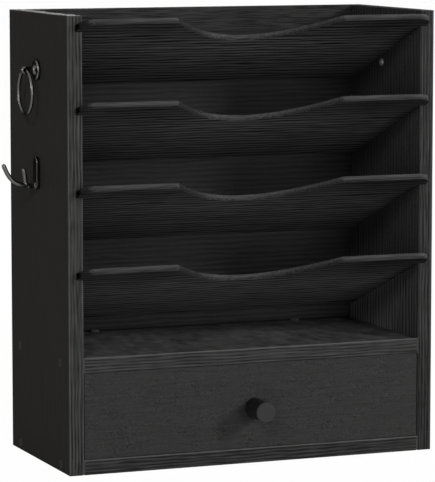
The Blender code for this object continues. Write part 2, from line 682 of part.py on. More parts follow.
def knob(slide):
    """The round drawer knob, and the machine screw that holds it from inside the drawer."""
    radius, bore = KNOB_DIAMETER / 2, KNOB_SCREW_SHANK / 2 + FIT
    depth = KNOB_SCREW_GRIP + FIT
    face, chamfer = KNOB_LENGTH, KNOB_CHAMFER
    profile = [(0, face), (radius - chamfer, face), (radius, face - chamfer), (radius, 0),
               (bore, 0), (bore, depth), (0, depth)]
    at = Vector((0, FRONT - FIT, KNOB_HEIGHT)) - slide.location
    turned("drawer_knob", profile, at, (0, -1, 0), BLACK_METAL, slide, KNOB_STEPS)
    shank = DRAWER_FRONT_THICKNESS + KNOB_SCREW_GRIP + FIT
    screw = pan_head_profile(PAN_HEAD_DIAMETER, PAN_HEAD_HEIGHT, KNOB_SCREW_SHANK, shank)
    at = Vector((0, FRONT + DRAWER_FRONT_THICKNESS + FIT, KNOB_HEIGHT)) - slide.location
    turned("knob_screw", screw, at, (0, 1, 0), GREY_ZINC, slide)


def ring_post_profile():
    """The post of a ring hook, in one piece: rosette, coved neck and ball over a screw hole."""
    rosette, neck, ball = ROSETTE_DIAMETER / 2, NECK_DIAMETER / 2, EYE_DIAMETER / 2
    bore = POST_SCREW_SHANK / 2 + FIT
    depth = POST_SCREW_GRIP + FIT
    fine = CORNER_STEPS // 2
    head = arc((0, EYE_REACH), ball, pi / 2, -acos(neck / ball), CORNER_STEPS + fine)
    head[0] = (0, EYE_REACH + ball)
    centre = (neck + NECK_COVE, ROSETTE_THICKNESS + NECK_COVE)
    cove = arc(centre, NECK_COVE, pi, 3 * pi / 2, fine)
    centre = (rosette - ROSETTE_EDGE, ROSETTE_THICKNESS - ROSETTE_EDGE)
    rim = arc(centre, ROSETTE_EDGE, pi / 2, 0, fine)
    return head + cove + rim + [(rosette, 0), (bore, 0), (bore, depth), (0, depth)]


def ring_hook(word, side):
    """A post screwed to a side panel from inside, and the ring that swings in its eye."""
    at = (side * (OUTER_HALF + FIT), 0, RING_HOOK_HEIGHT)
    name = f"{word}_ring_post"
    post = turned(name, ring_post_profile(), at, (side, 0, 0), BLACK_METAL, steps=POST_STEPS)
    across = post.rotation_euler.to_matrix().inverted() @ Vector((0, 1, 0))
    eye = Vector((0, 0, EYE_REACH)) - across * EYE_DIAMETER
    shape = bmesh.new()
    add_rod(shape, eye, across, 2 * EYE_DIAMETER, EYE_BORE / 2)
    cut(post, shape)
    length = BOARD + POST_SCREW_GRIP + 2 * FIT
    head = (POST_SCREW_HEAD, POST_SCREW_HEAD_HEIGHT)
    screw = pan_head_profile(*head, POST_SCREW_SHANK, length)
    start = (side * (INNER_HALF - FIT), 0, RING_HOOK_HEIGHT)
    turned(f"{word}_ring_post_screw", screw, start, (-side, 0, 0), BLACK_METAL)

    hinge = anchor(f"{word}_ring_hinge", (side * (OUTER_HALF + FIT + EYE_REACH), 0, RING_HOOK_HEIGHT))
    bpy.ops.mesh.primitive_torus_add(
        major_radius=RING_MEAN_DIAMETER / 2, minor_radius=RING_WIRE / 2,
        major_segments=RING_STEPS, minor_segments=RING_WIRE_STEPS)
    made = bpy.context.object
    mesh = made.data
    bpy.data.objects.remove(made, do_unlink=True)
    hang = Matrix.Translation((0, 0, -RING_MEAN_DIAMETER / 2))
    mesh.transform(hang @ Matrix.Rotation(pi / 2, 4, "Y"))
    ring = place(f"{word}_ring", mesh, BLACK_METAL, parent=hinge)
    ring.data.shade_smooth()


def route_point(shares, reach, rise, t):
    """A point on a prong's smooth route, from shares of its reach and rise."""
    weights = ((1 - t) ** 3, 3 * t * (1 - t) ** 2, 3 * t * t * (1 - t), t ** 3)
    x = sum(w * share[0] for w, share in zip(weights, shares)) * reach
    z = sum(w * share[1] for w, share in zip(weights, shares)) * rise
    return Vector((x, 0, z - HOOK_ROOT_DROP))


def prong_radius(t):
    """The prong's radius: it thins from the root to a neck, then flares to the tip."""
    if t < FLARE_START_SHARE:
        blend = t / FLARE_START_SHARE
        ends = (PRONG_ROOT_RADIUS, PRONG_NECK_RADIUS)
    else:
        blend = (t - FLARE_START_SHARE) / (1 - FLARE_START_SHARE)
        ends = (PRONG_NECK_RADIUS, PRONG_TIP_RADIUS)
    blend = blend * blend * (3 - 2 * blend)
    return ends[0] + (ends[1] - ends[0]) * blend


def prong_mesh(name, shares, reach, rise):
    """A tapered prong with a flared, domed tip, as a closed mesh."""
    steps = [i / PRONG_STEPS for i in range(PRONG_STEPS + 1)]
    stations = [(route_point(shares, reach, rise, t), prong_radius(t)) for t in steps]
    tip, last = stations[-1][0], stations[-2][0]
    along = (tip - last).normalized()
    for i in range(1, PRONG_DOME_STEPS + 1):
        a = i / (PRONG_DOME_STEPS + 1) * pi / 2
        stations.append((tip + along * PRONG_TIP_RADIUS * sin(a), PRONG_TIP_RADIUS * cos(a)))
    curve = bpy.data.curves.new(name, "CURVE")
    curve.dimensions = "3D"
    curve.bevel_depth = PRONG_TIP_RADIUS
    curve.bevel_resolution = PRONG_BEVEL_STEPS
    curve.use_fill_caps = True
    spline = curve.splines.new("POLY")
    spline.points.add(len(stations) - 1)
    for point, (place_at, radius) in zip(spline.points, stations):
        point.co = (*place_at, 1)
        point.radius = radius / PRONG_TIP_RADIUS
    return mesh_of_curve(name, curve)


def mesh_of_curve(name, curve):
    """The mesh of a curve, with its caps welded on."""
    item = bpy.data.objects.new(name, curve)
    bpy.context.scene.collection.objects.link(item)
    mesh = evaluated_mesh(item)
    bpy.data.objects.remove(item, do_unlink=True)
    return mesh


def hook_plate_mesh():
    """The plate of a double hook: a narrow outline with round ends, lying flat on the panel."""
    half = HOOK_PLATE_WIDTH / 2
    rise = HOOK_PLATE_HEIGHT / 2 - half
    top = arc((0, rise), half, 0, pi, 2 * CORNER_STEPS)
    foot = arc((0, -rise), half, pi, 2 * pi, 2 * CORNER_STEPS)
    curve = bpy.data.curves.new("hook_plate", "CURVE")
    curve.dimensions = "2D"
    curve.fill_mode = "BOTH"
    curve.extrude = HOOK_PLATE_THICKNESS / 2
    spline = curve.splines.new("POLY")
    spline.points.add(len(top + foot) - 1)
    for point, (y, z) in zip(spline.points, top + foot):
        point.co = (y, z, 0, 1)
    spline.use_cyclic_u = True
    mesh = mesh_of_curve("hook_plate", curve)
    stand = Matrix(((0, 0, 1, HOOK_PLATE_THICKNESS / 2), (1, 0, 0, 0), (0, 1, 0, 0), (0, 0, 0, 1)))
    mesh.transform(stand)
    return mesh


def double_hook(word, side):
    """A double hook: the plate joined with its long and its short prong, and its two screws."""
    at = (side * (OUTER_HALF + FIT), 0, HOOK_HEIGHT)
    turn = (0, 0, 0 if side > 0 else pi)
    hook = place(f"{word}_double_hook", hook_plate_mesh(), BLACK_METAL, at, turn)
    soften(hook, HOOK_PLATE_EDGE, 2)
    prongs = (("long", LONG_ROUTE_SHARES, LONG_PRONG_REACH, LONG_PRONG_RISE),
              ("short", SHORT_ROUTE_SHARES, SHORT_PRONG_REACH, SHORT_PRONG_RISE))
    for kind, shares, reach, rise in prongs:
        name = f"{word}_{kind}_prong"
        prong = bpy.data.objects.new(name, prong_mesh(name, shares, reach, rise))
        CUTTERS.objects.link(prong)
        prong.parent = hook
        prong.hide_render = True
        prong.display_type = "WIRE"
        union = hook.modifiers.new(kind + "_prong", "BOOLEAN")
        union.operation = "UNION"
        union.object = prong
    shape = bmesh.new()
    for z in hook_screw_heights():
        point = (HOOK_PLATE_THICKNESS, 0, z - HOOK_HEIGHT)
        add_screw_hole(shape, point, (-1, 0, 0), HOOK_SCREW_HEAD, HOOK_SCREW_SHANK, HOOK_SCREW_LENGTH)
    cut(hook, shape)
    screw = countersunk_profile(HOOK_SCREW_HEAD, HOOK_SCREW_SHANK, HOOK_SCREW_LENGTH)
    face = side * (OUTER_HALF + FIT + HOOK_PLATE_THICKNESS)
    points = [((face, 0, z), (side, 0, 0)) for z in hook_screw_heights()]
    turned_set(f"{word}_double_hook_screw", screw, points, BLACK_METAL)


def build():
    """Builds the whole sorter."""
    side_panel("left_side_panel", -1)
    side_panel("right_side_panel", 1)
    back_panel()
    bottom_panel()
    drawer_top_board()
    board_fittings()
    panel_fasteners()
    outline = shelf_outline()
    for number in range(1, SHELF_COUNT + 1):
        sloping_shelf(number, outline)
    knob(drawer())
    for word, side in (("left", -1), ("right", 1)):
        ring_hook(word, side)
        double_hook(word, side)


build()
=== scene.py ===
"""Dresses the envelope sorter: board finishes, shelves, drawer, hooks, fasteners and a studio.

All places are in the frame of the solid model, in metres: X to the right, Y to the back, Z up.
"""

import json
from math import acos, cos, pi, radians, sin, tau

import bmesh
import bpy
from bpy.props import FloatProperty, FloatVectorProperty, IntProperty, PointerProperty
from mathutils import Matrix, Vector


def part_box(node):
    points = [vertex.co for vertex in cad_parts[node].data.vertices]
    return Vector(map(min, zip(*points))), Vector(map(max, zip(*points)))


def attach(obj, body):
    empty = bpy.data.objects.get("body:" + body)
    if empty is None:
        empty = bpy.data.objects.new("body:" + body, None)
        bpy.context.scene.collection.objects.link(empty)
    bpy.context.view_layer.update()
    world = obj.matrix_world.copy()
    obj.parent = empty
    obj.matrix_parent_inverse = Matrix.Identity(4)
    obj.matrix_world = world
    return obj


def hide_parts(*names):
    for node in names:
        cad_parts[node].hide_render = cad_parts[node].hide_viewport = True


bl_info = {
    "name": "Envelope sorter",
    "version": (1, 0, 0),
    "blender": (4, 5, 0),
    "location": "3D View > Sidebar > Sorter",
    "description": "Finishes and detailed pieces of a desktop envelope sorter with a drawer",
    "category": "Object",
}

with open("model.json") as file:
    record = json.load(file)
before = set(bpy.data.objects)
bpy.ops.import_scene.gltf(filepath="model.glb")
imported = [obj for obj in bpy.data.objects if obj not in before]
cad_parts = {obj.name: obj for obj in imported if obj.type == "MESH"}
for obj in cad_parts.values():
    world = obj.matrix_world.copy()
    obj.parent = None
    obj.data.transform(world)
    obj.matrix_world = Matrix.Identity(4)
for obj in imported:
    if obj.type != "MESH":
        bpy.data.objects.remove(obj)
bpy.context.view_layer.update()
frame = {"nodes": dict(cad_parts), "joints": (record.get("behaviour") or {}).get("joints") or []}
MM = 0.001
WELD = 0.002 * MM  # points nearer than this are one point
SWING_ROOM = 0.05 * MM  # how much thinner a ring's wire is all round, so that it swings free
FLOOR_DROP = 0.2 * MM  # how far the floor lies under the case
SENSOR_WIDTH = 36.0  # of the camera, in millimetres
FAR = 100.0  # how far the camera sees, in metres
X, Y, Z = Vector((1, 0, 0)), Vector((0, 1, 0)), Vector((0, 0, 1))
SIDES = (("left", -1), ("right", 1))
LEVEL_BOARDS = ("bottom_panel", "drawer_top_board")


# Sizes and colours that a user would change

def length(name, description, default):
    """A size in metres."""
    return FloatProperty(name=name, description=description, default=default, unit="LENGTH", min=0)


def share(name, description, default):
    """A share from none to all."""
    return FloatProperty(
        name=name, description=description, default=default, subtype="FACTOR", min=0, max=1)


def colour(name, description, default):
    """A linear colour."""
    return FloatVectorProperty(
        name=name, description=description, default=default, subtype="COLOR", size=3, min=0, max=1)


def level(name, description, default):
    """A plain number, such as a strength."""
    return FloatProperty(name=name, description=description, default=default, min=0)


class SorterShapes(bpy.types.PropertyGroup):
    """Sizes of the detailed pieces."""

    shelf_edge: length("Shelf edge rounding", "Radius along the edges of a sloping shelf", 0.8 * MM)
    shelf_thickness: length("Shelf thickness", "Thickness of a sloping shelf", 4.5 * MM)
    shelf_lip: length(
        "Shelf lip", "How far a shelf stands out in front, along its slope", 15.8 * MM)
    shelf_corner: length("Shelf corner", "Radius of a shelf's front corners", 13.0 * MM)
    scoop_width: length("Scoop width", "Width of the scoop in a shelf's front edge", 140.0 * MM)
    scoop_depth: length("Scoop depth", "Depth of the scoop in a shelf's front edge", 46.3 * MM)
    scoop_easing: length("Scoop easing", "How far the ends of the scoop are eased", 1.3 * MM)
    knob_chamfer: length("Knob chamfer", "Width of the chamfer round the knob's face", 0.6 * MM)
    rosette_edge: length("Rosette edge", "Radius round the rosette of a ring post", 1.1 * MM)
    post_neck: length("Post neck", "Diameter of a ring post's neck", 5.4 * MM)
    post_cove: length("Post cove", "Radius of the cove between rosette and neck", 2.2 * MM)
    eye_diameter: length("Eye diameter", "Diameter of the ball at the end of a ring post", 6.6 * MM)
    eye_bore: length("Eye bore", "Bore of the eye that the ring hangs in", 3.6 * MM)
    ring_wire: length("Ring wire", "Diameter of the ring's wire", 2.6 * MM)
    prong_root: length("Prong root", "Radius of a prong where it leaves the plate", 1.8 * MM)
    prong_neck: length("Prong neck", "Radius of a prong at its thinnest", 0.9 * MM)
    prong_tip: length("Prong tip", "Radius of a prong at its flared tip", 1.8 * MM)
    casting_grain: length("Casting grain", "Fineness of the cast hooks' surface", 0.2 * MM)


class SorterFinishes(bpy.types.PropertyGroup):
    """Colours and surface values of the finishes."""

    laminate_dark: colour(
        "Laminate pores", "Colour in the pores of the board finish", (0.0185, 0.0185, 0.0183))
    laminate_light: colour(
        "Laminate ridges", "Colour on the ridges of the grain", (0.0555, 0.0555, 0.055))
    # Painted shade: the outward faces of the sides get a plain colour darker than the laminate, as their
    # shaded look.
    shaded_outer_colour: colour(
        "Outer faces", "Colour of the smooth outer faces of the sides", (0.0278, 0.0269, 0.0247))
    # Painted shade: the near-black colour painted in the slots, along the fixed board's joint, in the
    # drawer's right gap, on the right side's inner arris and on the shelves' ends.
    painted_shade_colour: colour("Slots", "Colour inside the shelves' slots", (0.003, 0.003, 0.003))
    band_dark: colour(
        "Edge band pores", "Colour in the pores of the edge bands", (0.016, 0.016, 0.0158))
    band_light: colour(
        "Edge band ridges", "Colour on the ridges of the edge bands", (0.064, 0.0635, 0.063))
    laminate_roughness: share("Laminate roughness", "Roughness of the board finish", 0.48)
    shelf_dark: colour(
        "Shelf pores", "Colour in the pores of a shelf's faces", (0.004, 0.004, 0.004))
    shelf_light: colour(
        "Shelf ridges", "Colour on the ridges of a shelf's faces", (0.053, 0.053, 0.0525))
    # The lip colours give streaks, and also the painted highlight on the edges' upper rims and the
    # painted shade on their lower part.
    lip_dark: colour("Lip pores", "Dark streaks along a shelf's edges", (0.018, 0.018, 0.018))
    lip_light: colour("Lip ridges", "Light streaks along a shelf's edges", (0.088, 0.088, 0.0875))
    # Painted highlight: the pale colour painted along the boards' upper and side front edges, and
    # painted light at the rear of each side's lowest bay.
    painted_light_colour: colour(
        "Arris", "Colour along the eased front edges of the boards", (0.105, 0.105, 0.103))
    laminate_gloss: share("Laminate gloss", "Strength of the board finish's reflections", 0.001)
    grain_width: length("Grain width", "Width of one broad streak of the grain", 2.9 * MM)
    grain_length: length("Grain length", "Length of one broad streak of the grain", 75.0 * MM)
    shelf_grain: length(
        "Shelf grain", "From one dark line of a shelf's grain to the next", 7.1 * MM)
    grain_depth: length("Grain depth", "Depth of the embossed grain", 0.7 * MM)
    grain_sway: length("Grain sway", "How far the grain wanders to and fro", 6.0 * MM)
    metal_colour: colour(
        "Hook colour", "What the black plated hooks reflect, seen straight on", (0.105, 0.105, 0.103))
    metal_edge: share("Hook edge", "How much of their edge reflection the hooks keep", 0.12)
    metal_roughness: share("Hook roughness", "Roughness of the black plated hooks", 0.22)
    dull_colour: colour(
        "Dull plating colour", "Colour of the dull screws and caps", (0.036, 0.036, 0.036))
    # The caps' paler colour is their tone and also stands in for their highlight.
    cap_colour_and_highlight: colour(
        "Cap colour", "Colour of the round caps on the fixed board", (0.06, 0.06, 0.06))
    knob_colour: colour("Knob colour", "Colour of the coated knob", (0.0345, 0.0345, 0.0345))
    knob_roughness: share("Knob roughness", "Roughness of the coated knob", 0.42)
    zinc_colour: colour("Zinc colour", "Colour of the zinc plated fasteners", (0.52, 0.53, 0.55))
    beech_dark: colour("Beech dark", "Dark streaks of the beech dowels", (0.40, 0.25, 0.13))
    beech_light: colour("Beech light", "Light streaks of the beech dowels", (0.62, 0.45, 0.28))


class SorterStudio(bpy.types.PropertyGroup):
    """The floor, the lamps and the camera."""

    floor_colour: colour("Floor colour", "Colour of the floor", (0.86, 0.86, 0.86))
    key_power: level("Key light", "Power of the small lamp in front on the right, in watts", 30.0)
    front_power: level("Front light", "Power of the large low lamp in front, in watts", 22.0)
    high_power: level("High light", "Power of the high lamp in front on the left, in watts", 9.0)
    low_power: level("Low light", "Power of the lowest lamp in front on the left, in watts", 6.0)
    left_power: level("Left light", "Power of the lamp on the left, a little behind, in watts", 8.5)
    back_power: level("Back light", "Power of the lamp behind the sorter, in watts", 26.0)
    ambient: level("Ambient light", "Strength of the light from all round", 0.01)
    floor_glow: share("Floor whiteness", "How far the floor looks plain white to the camera", 0.985)
    view_angle: FloatProperty(
        name="View angle", description="How far the camera is turned to the right of straight ahead",
        default=radians(21.792), subtype="ANGLE")
    view_fall: FloatProperty(
        name="View fall", description="How far the camera looks down",
        default=radians(6.625), subtype="ANGLE")
    camera_place: FloatVectorProperty(
        name="Camera place", description="Where the camera stands",
        default=(-0.8985, -2.24, 0.4515), subtype="TRANSLATION", unit="LENGTH", size=3)
    lens: FloatProperty(
        name="Lens", description="Focal length of the camera in millimetres",
        default=221.79, min=1)
    floor_size: length("Floor size", "Width of the floor", 30.0)
    screw_seed: IntProperty(
        name="Screw seed", description="Seed of how far each screw was turned", default=4)


# Writing nodes as expressions

def operators(operation):
    """A Math node as an operator of signals, and the same with its values swapped."""
    return (
        lambda signal, other: signal.maker.math(operation, signal, other),
        lambda signal, other: signal.maker.math(operation, other, signal))


class Signal:
    """A node's output, which takes part in arithmetic."""

    __add__, __radd__ = operators("ADD")
    __sub__, __rsub__ = operators("SUBTRACT")
    __mul__, __rmul__ = operators("MULTIPLY")
    __truediv__, __rtruediv__ = operators("DIVIDE")
    __pow__, __rpow__ = operators("POWER")

    def __init__(self, maker, socket):
        self.maker = maker
        self.socket = socket

    def __neg__(self):
        return self * -1.0

    def __abs__(self):
        return self.maker.math("ABSOLUTE", self)


class Maker:
    """Adds nodes to a tree, for shaders and for geometry."""

    def __init__(self, tree):
        self.tree = tree

    def node(self, kind, values=None, output=0, **settings):
        """One node: its type, the values or links of its sockets, and its settings."""
        made = self.tree.nodes.new(kind)
        for name, value in settings.items():
            setattr(made, name, value)
        for key, value in (values or {}).items():
            if isinstance(value, Signal):
                self.tree.links.new(value.socket, made.inputs[key])
            else:
                made.inputs[key].default_value = value
        return Signal(self, made.outputs[output])

    def math(self, operation, *values):
        """A Math node on one, two or three values."""
        return self.node("ShaderNodeMath", dict(enumerate(values)), operation=operation)

    def vector(self, operation, *values):
        """A Vector Math node that gives a vector."""
        return self.node("ShaderNodeVectorMath", dict(enumerate(values)), operation=operation)

    def join(self, x, y, z):
        """A vector from three values."""
        return self.node("ShaderNodeCombineXYZ", {0: x, 1: y, 2: z})

    def split(self, vector):
        """The three values of a vector."""
        return [self.node("ShaderNodeSeparateXYZ", {0: vector}, i) for i in range(3)]

    def dot(self, vector, way):
        """How far a vector goes along a direction."""
        return self.node("ShaderNodeVectorMath", {0: vector, 1: tuple(way)}, 1, operation="DOT_PRODUCT")

    def blend(self, factor, low, high):
        """A colour between two colours, which are signals or plain colours.

        Sockets 6 and 7 of a Mix node and its output 2 are those for colours.
        """
        low, high = (ink if isinstance(ink, Signal) else opaque(ink) for ink in (low, high))
        return self.node("ShaderNodeMix", {0: factor, 6: low, 7: high}, 2, data_type="RGBA")

    def blend_around(self, factor, rgb, low, high=1.0):
        """A colour between two multiples of one colour."""
        return self.blend(factor, [low * c for c in rgb], [high * c for c in rgb])

    def step(self, value, low, high):
        """A smooth step from nought at a low value to one at a high value."""
        return self.node(
            "ShaderNodeMapRange", {0: value, 1: low, 2: high}, interpolation_type="SMOOTHSTEP")

    def noise(self, vector, detail=2.0, roughness=0.5):
        """Smooth noise from nought to one with features about one unit wide."""
        values = {"Vector": vector, "Scale": 1.0, "Detail": detail, "Roughness": roughness}
        return self.node("ShaderNodeTexNoise", values)


class Finish(Maker):
    """A new material: its place and facing signals, its surface shader and the user's looks."""

    def __init__(self, name, **fixed):
        self.looks = bpy.context.scene.sorter_finishes
        self.material = bpy.data.materials.new(name)
        self.material.use_nodes = True
        super().__init__(self.material.node_tree)
        self.shader = self.tree.nodes["Principled BSDF"]
        self.position = self.node("ShaderNodeTexCoord", output=3)
        self.facing = self.node("ShaderNodeTexCoord", output=1)
        for name, value in fixed.items():
            self.shader.inputs[name.replace("_", " ")].default_value = value

    def speckle(self, axis, run, across, detail=2.0, roughness=0.5, shift=0.0):
        """Noise of the position, with features long along an axis and narrow across it."""
        return self.noise(stretch(self, self.position, axis, run, across, shift), detail, roughness)

    def feed(self, **signals):
        """Links signals to the sockets of the surface shader."""
        for name, signal in signals.items():
            self.tree.links.new(signal.socket, self.shader.inputs[name.replace("_", " ")])

    def finished(self, shade, roughness, height, depth):
        """The material, with its colour, its roughness, and a relief of some depth."""
        bump = self.node("ShaderNodeBump", {"Height": height, "Distance": depth, "Strength": 1.0})
        self.feed(Base_Color=shade, Roughness=roughness, Normal=bump)
        return self.material


def opaque(rgb):
    """A colour with full alpha."""
    return (*rgb, 1.0)


# Finishes

def stretch(maker, position, axis, run, across, shift=0.0):
    """Position in streak units: long along one axis and narrow across it."""
    scale = [1 / across] * 3
    scale[axis] = 1 / run
    moved = maker.vector("ADD", position, (shift, shift, shift))
    return maker.vector("MULTIPLY", moved, tuple(scale))


class Board(Finish):
    """A black board's finish: where a point lies, which way it faces and its grain."""

    def __init__(self, name, ahead, axis):
        looks = bpy.context.scene.sorter_finishes
        super().__init__(
            name, Roughness=looks.laminate_roughness, Specular_IOR_Level=looks.laminate_gloss,
            Diffuse_Roughness=1.0)
        self.x, self.y, self.z = self.split(self.position)
        self.across, self.forward, self.upward = (
            self.dot(self.facing, way) for way in (X, ahead, ahead.cross(X)))
        self.relief, self.streaks = self.grain(axis)

    def grain(self, axis, shift=0.0):
        """Wood grain along an axis, from nought to one: its broad relief and its fine streaks."""
        sway = self.speckle(axis, 130 * MM, 45 * MM, 1.0, shift=shift) - 0.5
        lean = [self.looks.grain_sway] * 3
        lean[axis] = 0.0
        bent = self.vector(
            "ADD", self.position, self.vector("MULTIPLY", self.join(sway, sway, sway), tuple(lean)))
        run, width = self.looks.grain_length, self.looks.grain_width
        broad, middle, fine = (
            self.noise(stretch(self, bent, axis, long * run, wide * width, shift), 0.0)
            for long, wide in ((1.0, 1.0), (0.5, 0.55), (0.25, 0.27)))
        relief = self.step(broad * 0.55 + middle * 0.30 + fine * 0.15, 0.30, 0.70)
        return relief, self.step(fine * 0.70 + middle * 0.30, 0.30, 0.70)

    def turn_ends(self, axis):
        """Lets the grain of the faces that look up or down run along another axis."""
        end = self.step(abs(self.upward), 0.65, 0.75)
        relief, streaks = self.grain(axis, shift=0.31)
        self.relief = self.relief + (relief - self.relief) * end
        self.streaks = self.streaks + (streaks - self.streaks) * end

    def lines(self, axis, across, period, wander=7.0):
        """Wavy lines of grain along an axis, from nought to one, a period apart across it."""
        sway = self.speckle(axis, 45 * MM, 10 * MM, 1.0) - 0.5
        depth = self.speckle(axis, 30 * MM, 12 * MM, 1.0, shift=0.4)
        phase = self.dot(self.position, across) * (tau / period) + sway * wander
        return 0.5 + self.math("SINE", phase) * (0.1 + 0.8 * depth)

    def faces(self, facing):
        """One where a facing is near to full."""
        return self.step(facing, 0.6, 0.9)

    def eased(self, facing):
        """One where an edge has turned far enough towards a facing."""
        return self.step(facing, 0.45, 0.60)

    def below(self, value, limit):
        """One where a value is less than a limit."""
        return self.math("LESS_THAN", value, limit)

    def arris(self):
        """One along a board's eased front edges, other than the lower ones: where a highlight is
        painted.
        """
        return self.eased(self.forward) * self.eased(self.math("MAXIMUM", abs(self.across), self.upward))

    def painted_edge_highlight(self, outward):
        """One along a front edge where a highlight line is painted: the outer edge of a side, or a level
        board's top.
        """
        if outward:
            # wear is how strong the painted highlight is on a side's outer front edge.
            outer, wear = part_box("right_side_panel")[1].x, 0.6
            return self.step(abs(self.x), outer - 1.4 * MM, outer - 1.0 * MM) * wear
        highlit_tops = [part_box(node)[1].z - 0.4 * MM for node in LEVEL_BOARDS]
        return self.step(
            self.math("MINIMUM", *(abs(self.z - top) for top in highlit_tops)), 0.7 * MM, 0.4 * MM)

    def grained(self, shade, relief, depth):
        """The material, a little smoother on the ridges of its grain."""
        roughness = self.looks.laminate_roughness + 0.1 * (0.5 - self.streaks)
        return self.finished(shade, roughness, relief, depth)


def sheet_tone(made, pocks, behind):
    """Tone of the back panel, in rows, with painted shade low in its lowest bay and painted light along
    its top, and of the drawer's front, in patches.
    """
    rows = (made.lines(0, Z, 4.4 * MM) - 0.5) * 0.35
    # Painted shade: the back panel is darker below about 150 mm, in the lowest bay, than above it.
    shade_low_on_back = 0.12 - 0.16 * made.step(made.z, 165 * MM, 140 * MM)
    upper = (made.streaks - 0.5) * 0.8 + 0.15
    # Painted light: the back panel's top band, above about 340 mm, is lighter.
    high = made.step(made.z, 330 * MM, 345 * MM)
    patch = made.step(made.speckle(0, 16 * MM, 9 * MM, 1.0, shift=0.2), 0.42, 0.62)
    dots = pocks * (0.45 + 0.75 * patch) * (1 - 0.65 * behind)
    return dots + behind * (rows + shade_low_on_back + high * (upper - rows - shade_low_on_back)) + 0.03 * (1 - behind)


def sheet_joints(made, shade, behind):
    """Painted shade: a dark joint line where the back panel meets the fixed board, and the drawer
    front's right end darkened as the shade in its gap.
    """
    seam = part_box("drawer_top_board")[1].z + 0.5 * MM
    painted_gap_shade = 0.65 * made.step(abs(made.z - seam), 1.6 * MM, 0.3 * MM)
    painted_gap_shade = painted_gap_shade * behind * made.step(made.forward, 0.5, 0.8)
    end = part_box("drawer_front")[1].x
    painted_gap_shade = made.math("MAXIMUM", painted_gap_shade, made.step(made.x, end - 0.9 * MM, end - 0.5 * MM) * (1 - behind))
    return made.blend(painted_gap_shade, shade, made.looks.painted_shade_colour)


def inner_side_tone(made, outward):
    """Tone of a side's inner face, with painted light in its lowest bay and paler painted ridges at the
    rear of that bay.
    """
    inner_face = made.faces(made.across * -outward)
    lowest = shelf_heights()[3] - bpy.context.scene.sorter_shapes.shelf_thickness
    low_bay = made.step(height_on_shelf(made), lowest + 1 * MM, lowest - 1 * MM)
    ridges = made.lines(2, Y, 5.3 * MM)
    painted_bay_light = low_bay * inner_face * made.step(made.y, -60 * MM, 10 * MM)
    # Painted light: the lowest bay's inner face is lighter and its ridges stronger.
    tone = ((ridges - 0.5) * (0.5 + 1.4 * low_bay) + 0.34 * low_bay - 0.07) * inner_face
    return tone + 0.5 * painted_bay_light, painted_bay_light * ridges * 0.9


def banded_front(made, shade, axis, outward, cloud):
    """The edge band on a board's front, with painted highlights on its arrises and along its top or
    outer edge, and painted shade on the right side's inner arris.
    """
    looks, z = made.looks, made.z
    front = made.step(made.forward, 0.75, 0.90)
    side_tone = 1.0 - 0.12 * outward if outward else 1.04
    fine = made.lines(axis, X if axis == 2 else Z, 2.7 * MM)
    if outward:
        foot = made.step(z, 130 * MM, 40 * MM) * (0.16 + 0.07 * outward)
    else:
        foot = made.step(z, 14 * MM, 11 * MM) * 0.2
    band = made.blend(
        0.55 * fine + 0.45 * made.streaks + cloud * 0.3 - foot,
        *([side_tone * c for c in ink] for ink in (looks.band_dark, looks.band_light)))
    # Painted highlight along the upper and side arrises and the top or outer front edge.
    painted_highlight = made.math("MAXIMUM", made.arris(), front * made.painted_edge_highlight(outward))
    shade = made.blend(painted_highlight * (0.75 + 0.5 * cloud), made.blend(front, shade, band), looks.painted_light_colour)
    # Painted shade: a dark line on the right side's inner arris, clear of the level boards.
    if outward > 0:
        shaded_inner_arris = made.eased(made.forward) * made.eased(-made.across)
        for node in LEVEL_BOARDS:
            shaded_inner_arris = shaded_inner_arris * made.step(abs(z - middle_of(node).z), 6 * MM, 8 * MM)
        shade = made.blend(0.55 * shaded_inner_arris, shade, looks.painted_shade_colour)
    return shade


def slots(made, outward):
    """One in the slots of a side's inner face, where shade is painted near black."""
    low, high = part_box("left_side_panel" if outward < 0 else "right_side_panel")
    depth, face = abs(made.x), min(abs(low.x), abs(high.x))
    slot_depth, rim = 5.9 * MM, 1 * MM
    inside = made.step(depth, face + 0.6 * MM, face + 0.9 * MM) * made.below(depth, face + slot_depth)
    inside = inside * made.below(made.y, high.y - rim) * made.step(made.forward, 0.8, 0.6)
    return inside * made.below(made.z, high.z - rim) * made.math("GREATER_THAN", made.z, rim)


